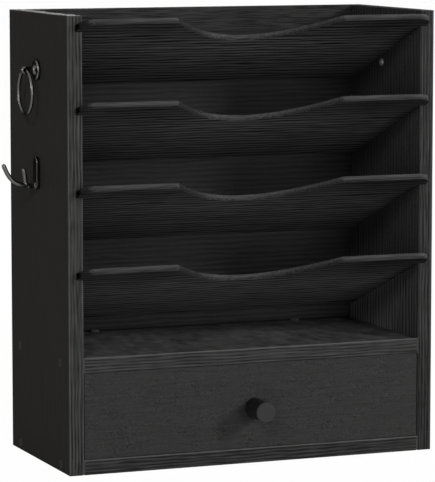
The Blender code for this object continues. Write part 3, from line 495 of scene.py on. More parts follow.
def laminate(name, axis, end_axis=None, outward=0, banded=True):
    """Black wood-grain laminate: grain along an axis, banded front edges and painted highlights on the
    arrises.

    A board that stands on one side of the case is smooth on its face that looks outward, painted there
    in a darker plain colour as shade;
    its other face gets painted light in its lowest bay and is painted black as shade in its slots.
    """
    made = Board(name, -Y, axis)
    looks = made.looks
    if end_axis is not None:
        made.turn_ends(end_axis)
    calm = made.faces(made.across * outward)
    cloud = made.speckle(axis, 9 * MM, 17 * MM, 1.0) - 0.5
    pocks = made.speckle(axis, 1.1 * MM, 0.7 * MM, 0.0) - 0.5
    tone = (made.streaks - 0.5) * 0.16 + cloud * (0.1 + 1.9 * made.faces(abs(made.upward)))
    behind = made.step(made.y, 20 * MM, 40 * MM)
    tone = tone + (pocks * 0.8 if banded else sheet_tone(made, pocks, behind))
    if outward:
        inner_tone, painted_ridge_light = inner_side_tone(made, outward)
        tone = tone + inner_tone
    shade = made.blend(tone + 0.5, looks.laminate_dark, looks.laminate_light)
    if outward:
        # Painted shade: a darker plain copy of the laminate on the outward faces.
        plain = made.blend_around(cloud + 0.5, looks.shaded_outer_colour, 0.97)
        shade = made.blend(calm, shade, plain)
        # Painted light on the ridges at the rear of the lowest bay.
        shade = made.blend(painted_ridge_light, shade, looks.painted_light_colour)
    if banded:
        shade = banded_front(made, shade, axis, outward, cloud)
    else:
        shade = sheet_joints(made, shade, behind)
    if outward:
        # Painted shade: the slots are painted near black.
        shade = made.blend(slots(made, outward), shade, looks.painted_shade_colour)
    return made.grained(shade, made.relief * (1 - 0.85 * calm), looks.grain_depth)


def shelf_heights():
    """How far up each shelf's upper face lies, along the way in which it looks."""
    upward = shelf_axes(1)[1]
    thickness = bpy.context.scene.sorter_shapes.shelf_thickness
    corners = [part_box(node) for node in numbered("sloped_shelf", 4)]
    return [
        upward.dot(Vector((0, low.y, high.z))) + thickness * upward.y ** 2 for low, high in corners]


def height_on_shelf(maker):
    """A position's height along the way in which the shelves' upper faces look."""
    return maker.dot(maker.position, shelf_axes(1)[1])


def shelf_laminate(name):
    """Thin black board of the shelves: fine dark lines on the faces, smooth paler edges, and painted
    light and shade.
    """
    ahead = shelf_axes(1)[0]
    made = Board(name, ahead, 0)
    looks, x, y, z = made.looks, made.x, made.y, made.z
    fine = 0.8 * made.lines(0, ahead, looks.shelf_grain) + 0.2 * made.streaks
    height = height_on_shelf(made)
    drops = [abs(height - top) for top in shelf_heights()]
    drop = made.math("MINIMUM", made.math("MINIMUM", *drops[:2]), made.math("MINIMUM", *drops[2:]))
    # Painted shade and light on the shelves' undersides: darker near the lip and at the front right,
    # lighter by the right wall and at the rear of the lowest shelf.
    shade_near_lip = made.step(y, -25 * MM, -85 * MM)
    light_by_wall = made.step(x, 115 * MM, 142 * MM) * made.step(y, -45 * MM, -5 * MM)
    shade_front_right = made.step(x, 60 * MM, 110 * MM) * made.step(y, 10 * MM, -50 * MM)
    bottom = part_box("sloped_shelf_4")[0].z
    light_lowest_rear = made.step(z, bottom + 48 * MM, bottom + 10 * MM)
    shift = 0.6 * light_by_wall + 0.48 * light_lowest_rear - 0.25 * shade_front_right - 0.56 * shade_near_lip - 0.25
    lift = 1.25 + made.step(-made.upward, 0.5, 0.9) * shift
    face = made.blend(fine * lift, looks.shelf_dark, looks.shelf_light)
    tilt = abs(made.upward)
    # Painted highlight on the edges' upper rims, and painted shade on their lower part and where the
    # scoop and the left corner turn away from the front.
    painted_rim_light = made.step(tilt, 0.25, 0.45)
    painted_turn_shade = made.step(made.forward, 0.95, 0.7) * (0.15 + 0.85 * made.step(x, 5 * MM, -5 * MM))
    lower = made.step(drop, 1.6 * MM, 3.4 * MM)
    tone = 0.62 + 0.4 * (made.streaks - 0.5) + 0.4 * painted_rim_light * (1 - lower) - 0.36 * lower - 0.6 * painted_turn_shade
    edge = made.blend(tone, looks.lip_dark, looks.lip_light)
    shade = made.blend(made.step(tilt, 0.97, 0.90), face, edge)
    # Painted shade: the shelves' ends, which sit in the slots, are near black.
    shade = made.blend(made.step(abs(made.across), 0.93, 0.99), shade, looks.painted_shade_colour)
    return made.grained(shade, made.relief, 0.3 * looks.grain_depth)


def black_plating(name):
    """Glossy black plating over a cast or drawn metal, with a faint ripple and smudges."""
    looks = bpy.context.scene.sorter_finishes
    made = Finish(name, Metallic=1.0, Specular_Tint=opaque([looks.metal_edge] * 3))
    ripple = made.speckle(0, 2.5 * MM, 2.5 * MM, 2.0)
    smudge = made.speckle(0, 9 * MM, 9 * MM, 3.0, 0.6)
    tone = made.blend_around(smudge, looks.metal_colour, 0.92, 1.1)
    return made.finished(tone, looks.metal_roughness + 0.12 * (smudge - 0.5), ripple, 0.008 * MM)


def dull_plating(name, ink):
    """Dull plating of the screws in the case's sides or of the caps, with fine scratches."""
    made = Finish(name, Specular_IOR_Level=0.01, Diffuse_Roughness=0.8)
    scratch = made.speckle(1, 3 * MM, 0.2 * MM, 1.0)
    mottle = made.speckle(0, 1.5 * MM, 1.5 * MM, 3.0, 0.6)
    tone = made.blend_around(0.6 * mottle + 0.4 * scratch, ink, 0.8, 1.2)
    return made.finished(tone, 0.5 + 0.15 * mottle, scratch, 0.01 * MM)


def coated_knob(name, middle):
    """Satin black coating: turned rings on the face, a fine powder texture, and painted shade on the
    sides.
    """
    made = Finish(name, Specular_IOR_Level=0.006, Diffuse_Roughness=0.2)
    looks = made.looks
    x, y, z = made.split(made.position)
    radius = ((x - middle.x) ** 2.0 + (z - middle.z) ** 2.0) ** 0.5
    turning = made.noise(made.join(radius / (0.12 * MM), y / (0.25 * MM), 0.0), 2.0)
    powder = made.speckle(0, 0.3 * MM, 0.3 * MM, 2.0)
    wear = made.speckle(0, 6 * MM, 6 * MM, 3.0)
    tone = made.blend_around(0.6 * wear + 0.4 * turning, looks.knob_colour, 0.85, 1.15)
    # Painted shade: the knob's sides, which turn away from the front, are darker than its face.
    side = made.step(made.dot(made.facing, -Y), 0.7, 0.3)
    tone = made.blend(side, tone, [0.55 * c for c in looks.knob_colour])
    roughness = looks.knob_roughness + 0.14 * (wear - 0.5)
    return made.finished(tone, roughness, 0.6 * turning + 0.4 * powder, 0.02 * MM)


def zinc_plating(name):
    """Bright zinc over steel, with a crystalline mottle and drawing lines."""
    made = Finish(name, Metallic=1.0)
    mottle = made.speckle(0, 0.9 * MM, 0.9 * MM, 3.0, 0.6)
    lines = made.speckle(1, 5 * MM, 0.15 * MM, 1.0)
    tone = made.blend_around(0.6 * mottle + 0.4 * lines, made.looks.zinc_colour, 0.7)
    return made.finished(tone, 0.52 + 0.2 * mottle, lines, 0.01 * MM)


def beech(name, axis):
    """Plain beech with short darker flecks along the grain."""
    made = Finish(name, Roughness=0.6)
    looks = made.looks
    long_streaks = made.speckle(axis, 12 * MM, 0.8 * MM, 3.0, 0.6)
    flecks = made.step(made.speckle(axis, 1.6 * MM, 0.3 * MM, 1.0), 0.62, 0.72)
    tone = made.blend(long_streaks, looks.beech_dark, looks.beech_light)
    tone = made.blend(flecks * 0.5, tone, looks.beech_dark)
    return made.finished(tone, 0.55 + 0.15 * long_streaks, long_streaks - flecks, 0.03 * MM)


FINISHES = {}


def finish(name):
    """A finish by its name, made when it is first asked for."""
    recipes = {
        "left_upright_laminate": lambda n: laminate(n, 2, 1, -1),
        "right_upright_laminate": lambda n: laminate(n, 2, 1, 1),
        "level_laminate": lambda n: laminate(n, 0),
        "sheet_laminate": lambda n: laminate(n, 0, banded=False),
        "shelf_laminate": shelf_laminate,
        "drawer_side_laminate": lambda n: laminate(n, 1),
        "black_plating": black_plating,
        "dull_plating": lambda n: dull_plating(n, bpy.context.scene.sorter_finishes.dull_colour),
        "cap_plating": lambda n: dull_plating(n, bpy.context.scene.sorter_finishes.cap_colour_and_highlight),
        "coated_knob": lambda n: coated_knob(n, middle_of("drawer_knob")),
        "zinc_plating": zinc_plating,
        "beech_across": lambda n: beech(n, 0),
        "beech_along": lambda n: beech(n, 1),
    }
    if name not in FINISHES:
        FINISHES[name] = recipes[name](name)
    return FINISHES[name]


# Making and placing pieces

def middle_of(node):
    """The middle of a solid's box."""
    low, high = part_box(node)
    return (low + high) / 2


def joint(name):
    """A joint by its name."""
    return next(found for found in frame["joints"] if found["name"] == name)


def shelf_axes(number):
    """The ways in which a sloping shelf slides out and in which its upper face looks."""
    ahead = Vector(joint(f"shelf_slide_{number}")["axis"]).normalized()
    return ahead, ahead.cross(X)


def plain_mesh(shape, name):
    """Mesh data from a bmesh, as it is."""
    mesh = bpy.data.meshes.new(name)
    shape.to_mesh(mesh)
    shape.free()
    return mesh


def mesh_of(shape, name):
    """Mesh data from a bmesh, with its doubles merged and its faces turned outwards."""
    bmesh.ops.remove_doubles(shape, verts=shape.verts, dist=WELD)
    bmesh.ops.recalc_face_normals(shape, faces=shape.faces)
    return plain_mesh(shape, name)


def linked(name, data):
    """An object in the scene with its place in its data."""
    item = bpy.data.objects.new(name, data)
    bpy.context.scene.collection.objects.link(item)
    return item


def baked(item):
    """The evaluated mesh of an object, which is then removed."""
    bpy.context.view_layer.update()
    graph = bpy.context.evaluated_depsgraph_get()
    mesh = bpy.data.meshes.new_from_object(item.evaluated_get(graph), depsgraph=graph)
    mesh.transform(item.matrix_world)
    name = item.name
    bpy.data.objects.remove(item, do_unlink=True)
    mesh.name = name
    return mesh


def settle(name, mesh, look, body, nodes, smooth_angle=32.0):
    """Adds a finished mesh as a piece on a body, standing for the solids that it details."""
    item = linked(name, mesh)
    mesh.materials.clear()
    mesh.materials.append(finish(look))
    for face in mesh.polygons:
        face.material_index = 0
    mesh.shade_smooth()
    mesh.set_sharp_from_angle(angle=radians(smooth_angle))
    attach(item, body)
    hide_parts(*nodes)


def dress(look, *nodes):
    """Gives solids that are shown as they are a better finish."""
    for node in nodes:
        for slot in frame["nodes"][node].material_slots:
            slot.material = finish(look)


def turned_shape(profile, steps):
    """A bmesh turned about Z from (radius, height) points that start and end on the axis."""
    shape = bmesh.new()
    points = [shape.verts.new((radius, 0, height)) for radius, height in profile]
    edges = [shape.edges.new(pair) for pair in zip(points, points[1:])]
    bmesh.ops.spin(
        shape, geom=points + edges, cent=(0, 0, 0), axis=(0, 0, 1),
        angle=tau, steps=steps, use_merge=True)
    return shape


def aim(direction):
    """The turn that points local Z along a direction."""
    return Vector(direction).to_track_quat("Z", "Y").to_matrix().to_4x4()


def arc(centre, radius, start, end, steps):
    """Points on an arc, with both ends."""
    angles = [start + (end - start) * i / steps for i in range(steps + 1)]
    return [(centre[0] + radius * cos(a), centre[1] + radius * sin(a)) for a in angles]


def modified(name, mesh, kind, **settings):
    """Mesh data after a modifier."""
    item = linked(name, mesh)
    modifier = item.modifiers.new(kind.lower(), kind)
    for key, value in settings.items():
        setattr(modifier, key, value)
    return baked(item)


def cut(name, mesh, cutter, use_self=False):
    """Mesh data with another shape cut out of it."""
    tool = linked("cutter", cutter)
    mesh = modified(
        name, mesh, "BOOLEAN", operation="DIFFERENCE", solver="EXACT", object=tool, use_self=use_self)
    bpy.data.objects.remove(tool, do_unlink=True)
    return mesh


# Trees that repeat a shape or follow a rule

class Rule(Maker):
    """A new geometry tree with named inputs, one of which is the finish."""

    def __init__(self, name, **inputs):
        super().__init__(bpy.data.node_groups.new(name, "GeometryNodeTree"))
        sockets = self.tree.interface
        for kind, labels in {"Geometry": ["Geometry"], **inputs, "Material": ["Finish"]}.items():
            for label in labels:
                sockets.new_socket(label, in_out="INPUT", socket_type="NodeSocket" + kind)
        sockets.new_socket("Geometry", in_out="OUTPUT", socket_type="NodeSocketGeometry")
        start = self.tree.nodes.new("NodeGroupInput")
        self.given = {socket.name: Signal(self, socket) for socket in start.outputs if socket.name}

    def joined(self, *parts):
        """Several geometries as one."""
        join = self.tree.nodes.new("GeometryNodeJoinGeometry")
        for part in parts:
            self.tree.links.new(part.socket, join.inputs[0])
        return Signal(self, join.outputs[0])

    def ended(self, geometry):
        """The tree, ended with real instances, one finish and the output."""
        real = self.node("GeometryNodeRealizeInstances", {0: geometry})
        painted = self.node(
            "GeometryNodeSetMaterial", {"Geometry": real, "Material": self.given["Finish"]})
        end = self.tree.nodes.new("NodeGroupOutput")
        self.tree.links.new(painted.socket, end.inputs[0])
        return self.tree


def run_tree(item, tree, values):
    """Adds a tree to an object as a modifier with its inputs set, and bakes the result."""
    modifier = item.modifiers.new(tree.name, "NODES")
    modifier.node_group = tree
    sockets = {s.name: s.identifier for s in tree.interface.items_tree if s.in_out == "INPUT"}
    for label, value in values.items():
        modifier[sockets[label]] = value
    return baked(item)


def repeat_tree():
    """A tree that sets a shape at every point, aimed along the point's direction."""
    maker = Rule("repeat_at_points", Object=["Shape"], Float=["Largest turn"], Int=["Seed"])
    given = maker.given
    shape = maker.node("GeometryNodeObjectInfo", {"Object": given["Shape"]}, 4)
    way = maker.node("GeometryNodeInputNamedAttribute", {"Name": "way"}, data_type="FLOAT_VECTOR")
    aimed = maker.node("FunctionNodeAlignRotationToVector", {"Vector": way}, axis="Z")
    spin = maker.node(
        "FunctionNodeRandomValue", {2: 0.0, 3: given["Largest turn"], "Seed": given["Seed"]}, 1,
        data_type="FLOAT")
    turn = maker.node("FunctionNodeAxisAngleToRotation", {"Axis": (0, 0, 1), "Angle": spin})
    both = maker.node("FunctionNodeRotateRotation", {0: aimed, 1: turn}, rotation_space="LOCAL")
    return maker.ended(maker.node("GeometryNodeInstanceOnPoints", {
        "Points": given["Geometry"], "Instance": shape, "Rotation": both}))


def shelf_tree():
    """A tree that draws a shelf by rule: round corners, and a scoop that is a parabola."""
    maker = Rule("scooped_shelf", Int=["Columns"], Float=[
        "Half width", "Lip", "Rear", "Thickness", "Corner", "Scoop half", "Scoop depth", "Easing"])
    given = maker.given
    sheet = maker.node("GeometryNodeMeshGrid", {0: 2.0, 1: 2.0, 2: given["Columns"], 3: 2})
    across, along, _ = maker.split(maker.node("GeometryNodeInputPosition"))
    x = maker.math("SINE", across * (pi / 2)) * given["Half width"]
    scoop = given["Scoop depth"] * (1 - (x / given["Scoop half"]) ** 2.0)
    eased = (scoop + (scoop ** 2.0 + given["Easing"] ** 2.0) ** 0.5) * 0.5
    inset = maker.math("MAXIMUM", abs(x) - given["Half width"] + given["Corner"], 0.0)
    square = maker.math("MAXIMUM", given["Corner"] ** 2.0 - inset ** 2.0, 0.0)
    corner = given["Corner"] - square ** 0.5
    front = eased + corner - given["Lip"]
    at_rear = maker.math("GREATER_THAN", along, 0.0)
    y = front + (given["Rear"] - front) * at_rear
    top, under = (
        maker.node("GeometryNodeSetPosition", {
            "Geometry": sheet, "Position": maker.join(x, y, given["Thickness"] * height)})
        for height in (0.5, -0.5))
    under = maker.node("GeometryNodeFlipFaces", {"Mesh": under})
    rim = maker.math("LESS_THAN", maker.node("GeometryNodeInputMeshEdgeNeighbors"), 1.5)
    wall = maker.node("GeometryNodeExtrudeMesh", {
        "Mesh": top, "Selection": rim, "Offset": maker.join(0.0, 0.0, -1.0),
        "Offset Scale": given["Thickness"]}, mode="EDGES")
    return maker.ended(maker.node(
        "GeometryNodeMergeByDistance", {"Geometry": maker.joined(wall, under), "Distance": WELD}))


def ring_tree():
    """A tree that sweeps a round wire round a circle."""
    maker = Rule("round_ring", Float=["Ring radius", "Wire radius"], Int=["Ring steps", "Wire steps"])
    loop, wire = (
        maker.node("GeometryNodeCurvePrimitiveCircle", {
            "Resolution": maker.given[f"{word} steps"], "Radius": maker.given[f"{word} radius"]})
        for word in ("Ring", "Wire"))
    return maker.ended(maker.node("GeometryNodeCurveToMesh", {"Curve": loop, "Profile Curve": wire}))


def prong_tree():
    """A tree that sweeps a prong along its curve: thick at the root, thin, then flared."""
    maker = Rule(
        "flared_prong", Float=["Root radius", "Neck radius", "Tip radius", "Neck place"], Int=["Steps"])
    given = maker.given
    along = maker.node("GeometryNodeSplineParameter")
    thinning = maker.step(along, 0.0, given["Neck place"])
    flaring = maker.step(along, given["Neck place"], 1.0)
    radius = given["Root radius"] + (given["Neck radius"] - given["Root radius"]) * thinning
    radius = radius + (given["Tip radius"] - given["Neck radius"]) * flaring
    wire = maker.node("GeometryNodeCurvePrimitiveCircle", {"Resolution": given["Steps"], "Radius": 1.0})
    swept = maker.node("GeometryNodeCurveToMesh", {
        "Curve": given["Geometry"], "Profile Curve": wire, "Scale": radius, "Fill Caps": True})
    ball = maker.node("GeometryNodeMeshUVSphere", {
        "Segments": given["Steps"], "Rings": 12, "Radius": given["Tip radius"]})
    points = maker.node("GeometryNodeCurveToPoints", {"Curve": given["Geometry"]}, mode="EVALUATED")
    index = maker.node("GeometryNodeInputIndex")
    count = maker.node("GeometryNodeAttributeDomainSize", {"Geometry": points}, component="POINTCLOUD")
    tip = maker.math("COMPARE", index, count - 1, 0.5)
    balls = maker.node(
        "GeometryNodeInstanceOnPoints", {"Points": points, "Selection": tip, "Instance": ball})
    return maker.ended(maker.joined(swept, balls))


TREES = {}


def tree(name):
    """A geometry tree by its name, made when it is first asked for."""
    recipes = {"repeat": repeat_tree, "shelf": shelf_tree, "ring": ring_tree, "prong": prong_tree}
    if name not in TREES:
        TREES[name] = recipes[name]()
    return TREES[name]


def repeated(name, shape, places, look):
    """One mesh of a shape repeated at (point, direction) places."""
    cloud = bpy.data.meshes.new(name)
    cloud.from_pydata([point for point, _ in places], [], [])
    ways = cloud.attributes.new("way", "FLOAT_VECTOR", "POINT")
    for item, (_, way) in zip(ways.data, places):
        item.vector = way
    pattern = linked(name + "_shape", shape)
    values = {
        "Shape": pattern, "Finish": finish(look), "Largest turn": tau,
        "Seed": bpy.context.scene.sorter_studio.screw_seed}
    mesh = run_tree(linked(name, cloud), tree("repeat"), values)
    bpy.data.objects.remove(pattern, do_unlink=True)
    return mesh


# Fasteners

def recess_cutter(size, depth):
    """A tapered cross that a screwdriver fits, with its top just above height zero."""
    shape = bmesh.new()
    tip, mouth, thinness, full_depth = size * 0.12, size * 0.72, 0.26, depth * 1.5
    wing = Matrix.Diagonal((1, thinness, 1, 1)) @ Matrix.Rotation(pi / 4, 4, "Z")
    for turn in (0, pi / 2):
        block = bmesh.ops.create_cone(
            shape, cap_ends=True, segments=4, radius1=tip, radius2=mouth, depth=full_depth)
        bmesh.ops.transform(shape, verts=block["verts"], matrix=Matrix.Rotation(turn, 4, "Z") @ wing)
    mesh = plain_mesh(shape, "recess")
    mesh.transform(Matrix.Translation((0, 0, full_depth / 2 - depth)))
    return mesh


def thread(outer, core, pitch, start, end):
    """Profile points of a thread's ridges from one height down to another."""
    points = []
    height = start
    while height - pitch > end:
        points += [(core, height), (outer, height - pitch * 0.5), (core, height - pitch * 0.9)]
        height -= pitch
    return points


def screw_shape(profile, recess_size, recess_depth):
    """A screw with its top at height zero, turned from a profile and given a cross recess."""
    solid = mesh_of(turned_shape(profile, 40), "screw")
    return cut("screw", solid, recess_cutter(recess_size, recess_depth), use_self=True)


def countersunk(head, shank, run):
    """A countersunk wood screw's shape."""
    edge, pitch, plain, point, core = 0.15 * MM, 1.3 * MM, 2.5 * MM, 3.0 * MM, shank * 0.72
    under = -edge - (head - shank)
    profile = [(0, 0), (head - edge, 0), (head, -edge), (shank, under)]
    profile += thread(shank, core, pitch, under - plain, point + 0.2 * MM - run)
    profile += [(core, point - run), (0, -run)]
    return screw_shape(profile, head * 1.05, head * 0.55)


def pan_head(head, rise, shank, run):
    """A pan-head machine screw's shape, with its dome's top at height zero."""
    rim, pitch, core, end = rise * 0.33, 0.7 * MM, shank * 0.8, -rise - run
    dome = arc((0, 0), 1.0, pi / 2, 0, 8)[1:]
    profile = [(0, 0)] + [(head * x, (rise - rim) * (y - 1)) for x, y in dome] + [(head, -rise)]
    profile += thread(shank, core, pitch, -rise, end + 0.6 * MM) + [(core, end), (0, end)]
    return screw_shape(profile, head * 0.95, rise * 0.8)


def fluted_dowel():
    """A fluted dowel with chamfered ends and its top at height zero."""
    radius, run, chamfer, flute, steps = 3.0 * MM, 24.0 * MM, 0.6 * MM, 0.14 * MM, 72
    end = radius - chamfer
    shape = bmesh.new()
    rings = []
    for reach, height in ((end, 0.0), (radius, -chamfer), (radius, chamfer - run), (end, -run)):
        ring = []
        for i in range(steps):
            r, turn = reach - (flute if i % 4 in (0, 1) else 0), tau * i / steps
            ring.append(shape.verts.new((r * cos(turn), r * sin(turn), height)))
        rings.append(ring)
    for upper, lower in zip(rings, rings[1:]):
        for i in range(steps):
            shape.faces.new((upper[i - 1], upper[i], lower[i], lower[i - 1]))
    shape.faces.new(rings[0])
    shape.faces.new(rings[-1])
    return mesh_of(shape, "fluted_dowel")


def tops(nodes, way):
    """Where solids end along a direction, each with that direction."""
    places = []
    for node in nodes:
        low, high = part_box(node)
        centre = (low + high) / 2
        axis = max(range(3), key=lambda i: abs(way[i]))
        centre[axis] = (high if way[axis] > 0 else low)[axis]
        places.append((centre, tuple(way)))
    return places


def set_down(name, shape, places, look, body, nodes):
    """Repeats a shape at places as one piece of a body."""
    settle(name, repeated(name, shape, places, look), look, body, nodes)


def span(node, axis):
    """A solid's size along an axis."""
    low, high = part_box(node)
    return (high - low)[axis]


def numbered(name, count):
    """Names with numbers from one."""
    return [f"{name}_{i}" for i in range(1, count + 1)]


class PieceOperator:
    """What every operator here shares."""

    bl_options = {"REGISTER", "UNDO"}

    def execute(self, context):
        """Makes the pieces, and lets any error stop the script."""
        self.make(context.scene.sorter_shapes)
        return {"FINISHED"}


class SORTER_OT_case(PieceOperator, bpy.types.Operator):
    """Gives the case's boards their laminate, with its grain along each board"""

    bl_idname = "sorter.case"
    bl_label = "Case boards"

    def make(self, sizes):
        for word, _ in SIDES:
            dress(f"{word}_upright_laminate", f"{word}_side_panel")
        dress("level_laminate", *LEVEL_BOARDS)
        dress("sheet_laminate", "back_panel")


class SORTER_OT_shelves(PieceOperator, bpy.types.Operator):
    """Makes the four sloping shelves with rounded edges, round corners and wide scoops"""

    bl_idname = "sorter.shelves"
    bl_label = "Sloping shelves"

    def make(self, sizes):
        for number in range(1, 5):
            node = f"sloped_shelf_{number}"
            ahead, upright = shelf_axes(number)
            down = -ahead
            low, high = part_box(node)
            half = sizes.shelf_thickness / 2
            lip_middle = Vector((0, low.y + half * upright.y, high.z - half * upright.z))
            origin = lip_middle + down * sizes.shelf_lip
            run = (high.y - half * upright.y - lip_middle.y) / down.y
            values = {
                "Half width": (high.x - low.x) / 2, "Lip": sizes.shelf_lip,
                "Rear": run - sizes.shelf_lip,
                "Thickness": sizes.shelf_thickness, "Corner": sizes.shelf_corner,
                "Scoop half": sizes.scoop_width / 2, "Scoop depth": sizes.scoop_depth,
                "Easing": sizes.scoop_easing, "Columns": 241, "Finish": finish("shelf_laminate")}
            name = f"scooped_shelf_{number}"
            mesh = run_tree(linked(name, bpy.data.meshes.new(name)), tree("shelf"), values)
            mesh = modified(
                name, mesh, "BEVEL", width=sizes.shelf_edge, segments=4, limit_method="ANGLE",
                angle_limit=radians(50), harden_normals=True)
            stand = Matrix((
                (1, down.x, upright.x, origin.x), (0, down.y, upright.y, origin.y),
                (0, down.z, upright.z, origin.z), (0, 0, 0, 1)))
            mesh.transform(stand)
            settle(name, mesh, "shelf_laminate", f"shelf_{number}", [node])


class SORTER_OT_drawer(PieceOperator, bpy.types.Operator):
    """Gives the drawer's front, sides, back and bottom their laminate"""

    bl_idname = "sorter.drawer"
    bl_label = "Drawer"

    def make(self, sizes):
        dress("sheet_laminate", "drawer_front", "drawer_back", "drawer_bottom")
        dress("drawer_side_laminate", "drawer_left_side", "drawer_right_side")


class SORTER_OT_knob(PieceOperator, bpy.types.Operator):
    """Turns the drawer's knob with an eased chamfer and a shallow facing on its end"""

    bl_idname = "sorter.knob"
    bl_label = "Drawer knob"

    def make(self, sizes):
        radius, reach = span("drawer_knob", 0) / 2, span("drawer_knob", 1)
        flat = sizes.knob_chamfer
        ease, heel = flat * 0.35, 0.4 * MM
        hollow, shallow = 0.05 * MM, 0.03 * MM  # of the facing, in its middle and halfway out
        profile = [(0, reach - hollow), (radius * 0.55, reach - shallow)]
        profile += [(radius - flat - ease, reach), (radius - flat, reach - ease * 0.2)]
        profile += [(radius - ease * 0.2, reach - flat), (radius, reach - flat - ease)]
        profile += [(radius, heel), (radius - heel, 0), (0, 0)]
        mesh = mesh_of(turned_shape(profile, 96), "turned_knob")
        foot = middle_of("drawer_knob") + Y * reach / 2
        mesh.transform(Matrix.Translation(foot) @ aim(-Y))
        settle("turned_knob", mesh, "coated_knob", "drawer", ["drawer_knob"], 60)


class SORTER_OT_ring_hooks(PieceOperator, bpy.types.Operator):
    """Turns the posts of the ring hooks, with an eye across each end, and hangs their rings"""

    bl_idname = "sorter.ring_hooks"
    bl_label = "Ring hooks"

    def make(self, sizes):
        for word, side in SIDES:
            self.post(word, side, sizes)
            self.ring(word, sizes)

    def post(self, word, side, sizes):
        """One post: rosette, cove, neck and a bored ball."""
        node = f"{word}_ring_post"
        low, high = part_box(node)
        centre = Vector(joint(f"{word}_ring_swing")["pos_m"])
        foot = low.x if side > 0 else high.x
        reach = abs(centre.x - foot)
        rosette, ball = (high.y - low.y) / 2, sizes.eye_diameter / 2
        neck, cove, edge = sizes.post_neck / 2, sizes.post_cove, sizes.rosette_edge
        plate = 2.6 * MM
        head = arc((0, reach), ball, pi / 2, -acos(neck / ball), 16)
        head[0] = (0, reach + ball)
        profile = head + arc((neck + cove, plate + cove), cove, pi, 3 * pi / 2, 8)
        profile += arc((rosette - edge, plate - edge), edge, pi / 2, 0, 6) + [(rosette, 0), (0, 0)]
        turn = Matrix.Translation((foot, centre.y, centre.z)) @ aim((side, 0, 0))
        mesh = mesh_of(turned_shape(profile, 72), node)
        mesh.transform(turn)
        eye = sizes.eye_bore / 2
        flare, past = 1.2 * ball, 2 * ball
        waist = arc((eye + flare, 0), flare, radians(140), radians(220), 10)
        shape = turned_shape([(0, past), (ball, past)] + waist + [(ball, -past), (0, -past)], 40)
        cutter = mesh_of(shape, "eye_bore")
        cutter.transform(Matrix.Translation(centre) @ aim(Y))
        mesh = cut("turned_" + node, mesh, cutter)
        settle("turned_" + node, mesh, "black_plating", "case", [node], 50)

    def ring(self, word, sizes):
        """One ring, swept round a circle."""
        node = f"{word}_ring"
        radius = (span(node, 2) - sizes.ring_wire) / 2
        values = {
            "Ring radius": radius, "Wire radius": sizes.ring_wire / 2 - SWING_ROOM, "Ring steps": 144,
            "Wire steps": 24, "Finish": finish("black_plating")}
        mesh = run_tree(linked("round_" + node, bpy.data.meshes.new(node)), tree("ring"), values)
        mesh.transform(Matrix.Translation(middle_of(node)) @ Matrix.Rotation(pi / 2, 4, "Y"))
        settle("round_" + node, mesh, "black_plating", f"ring_{word}", [node], 180)


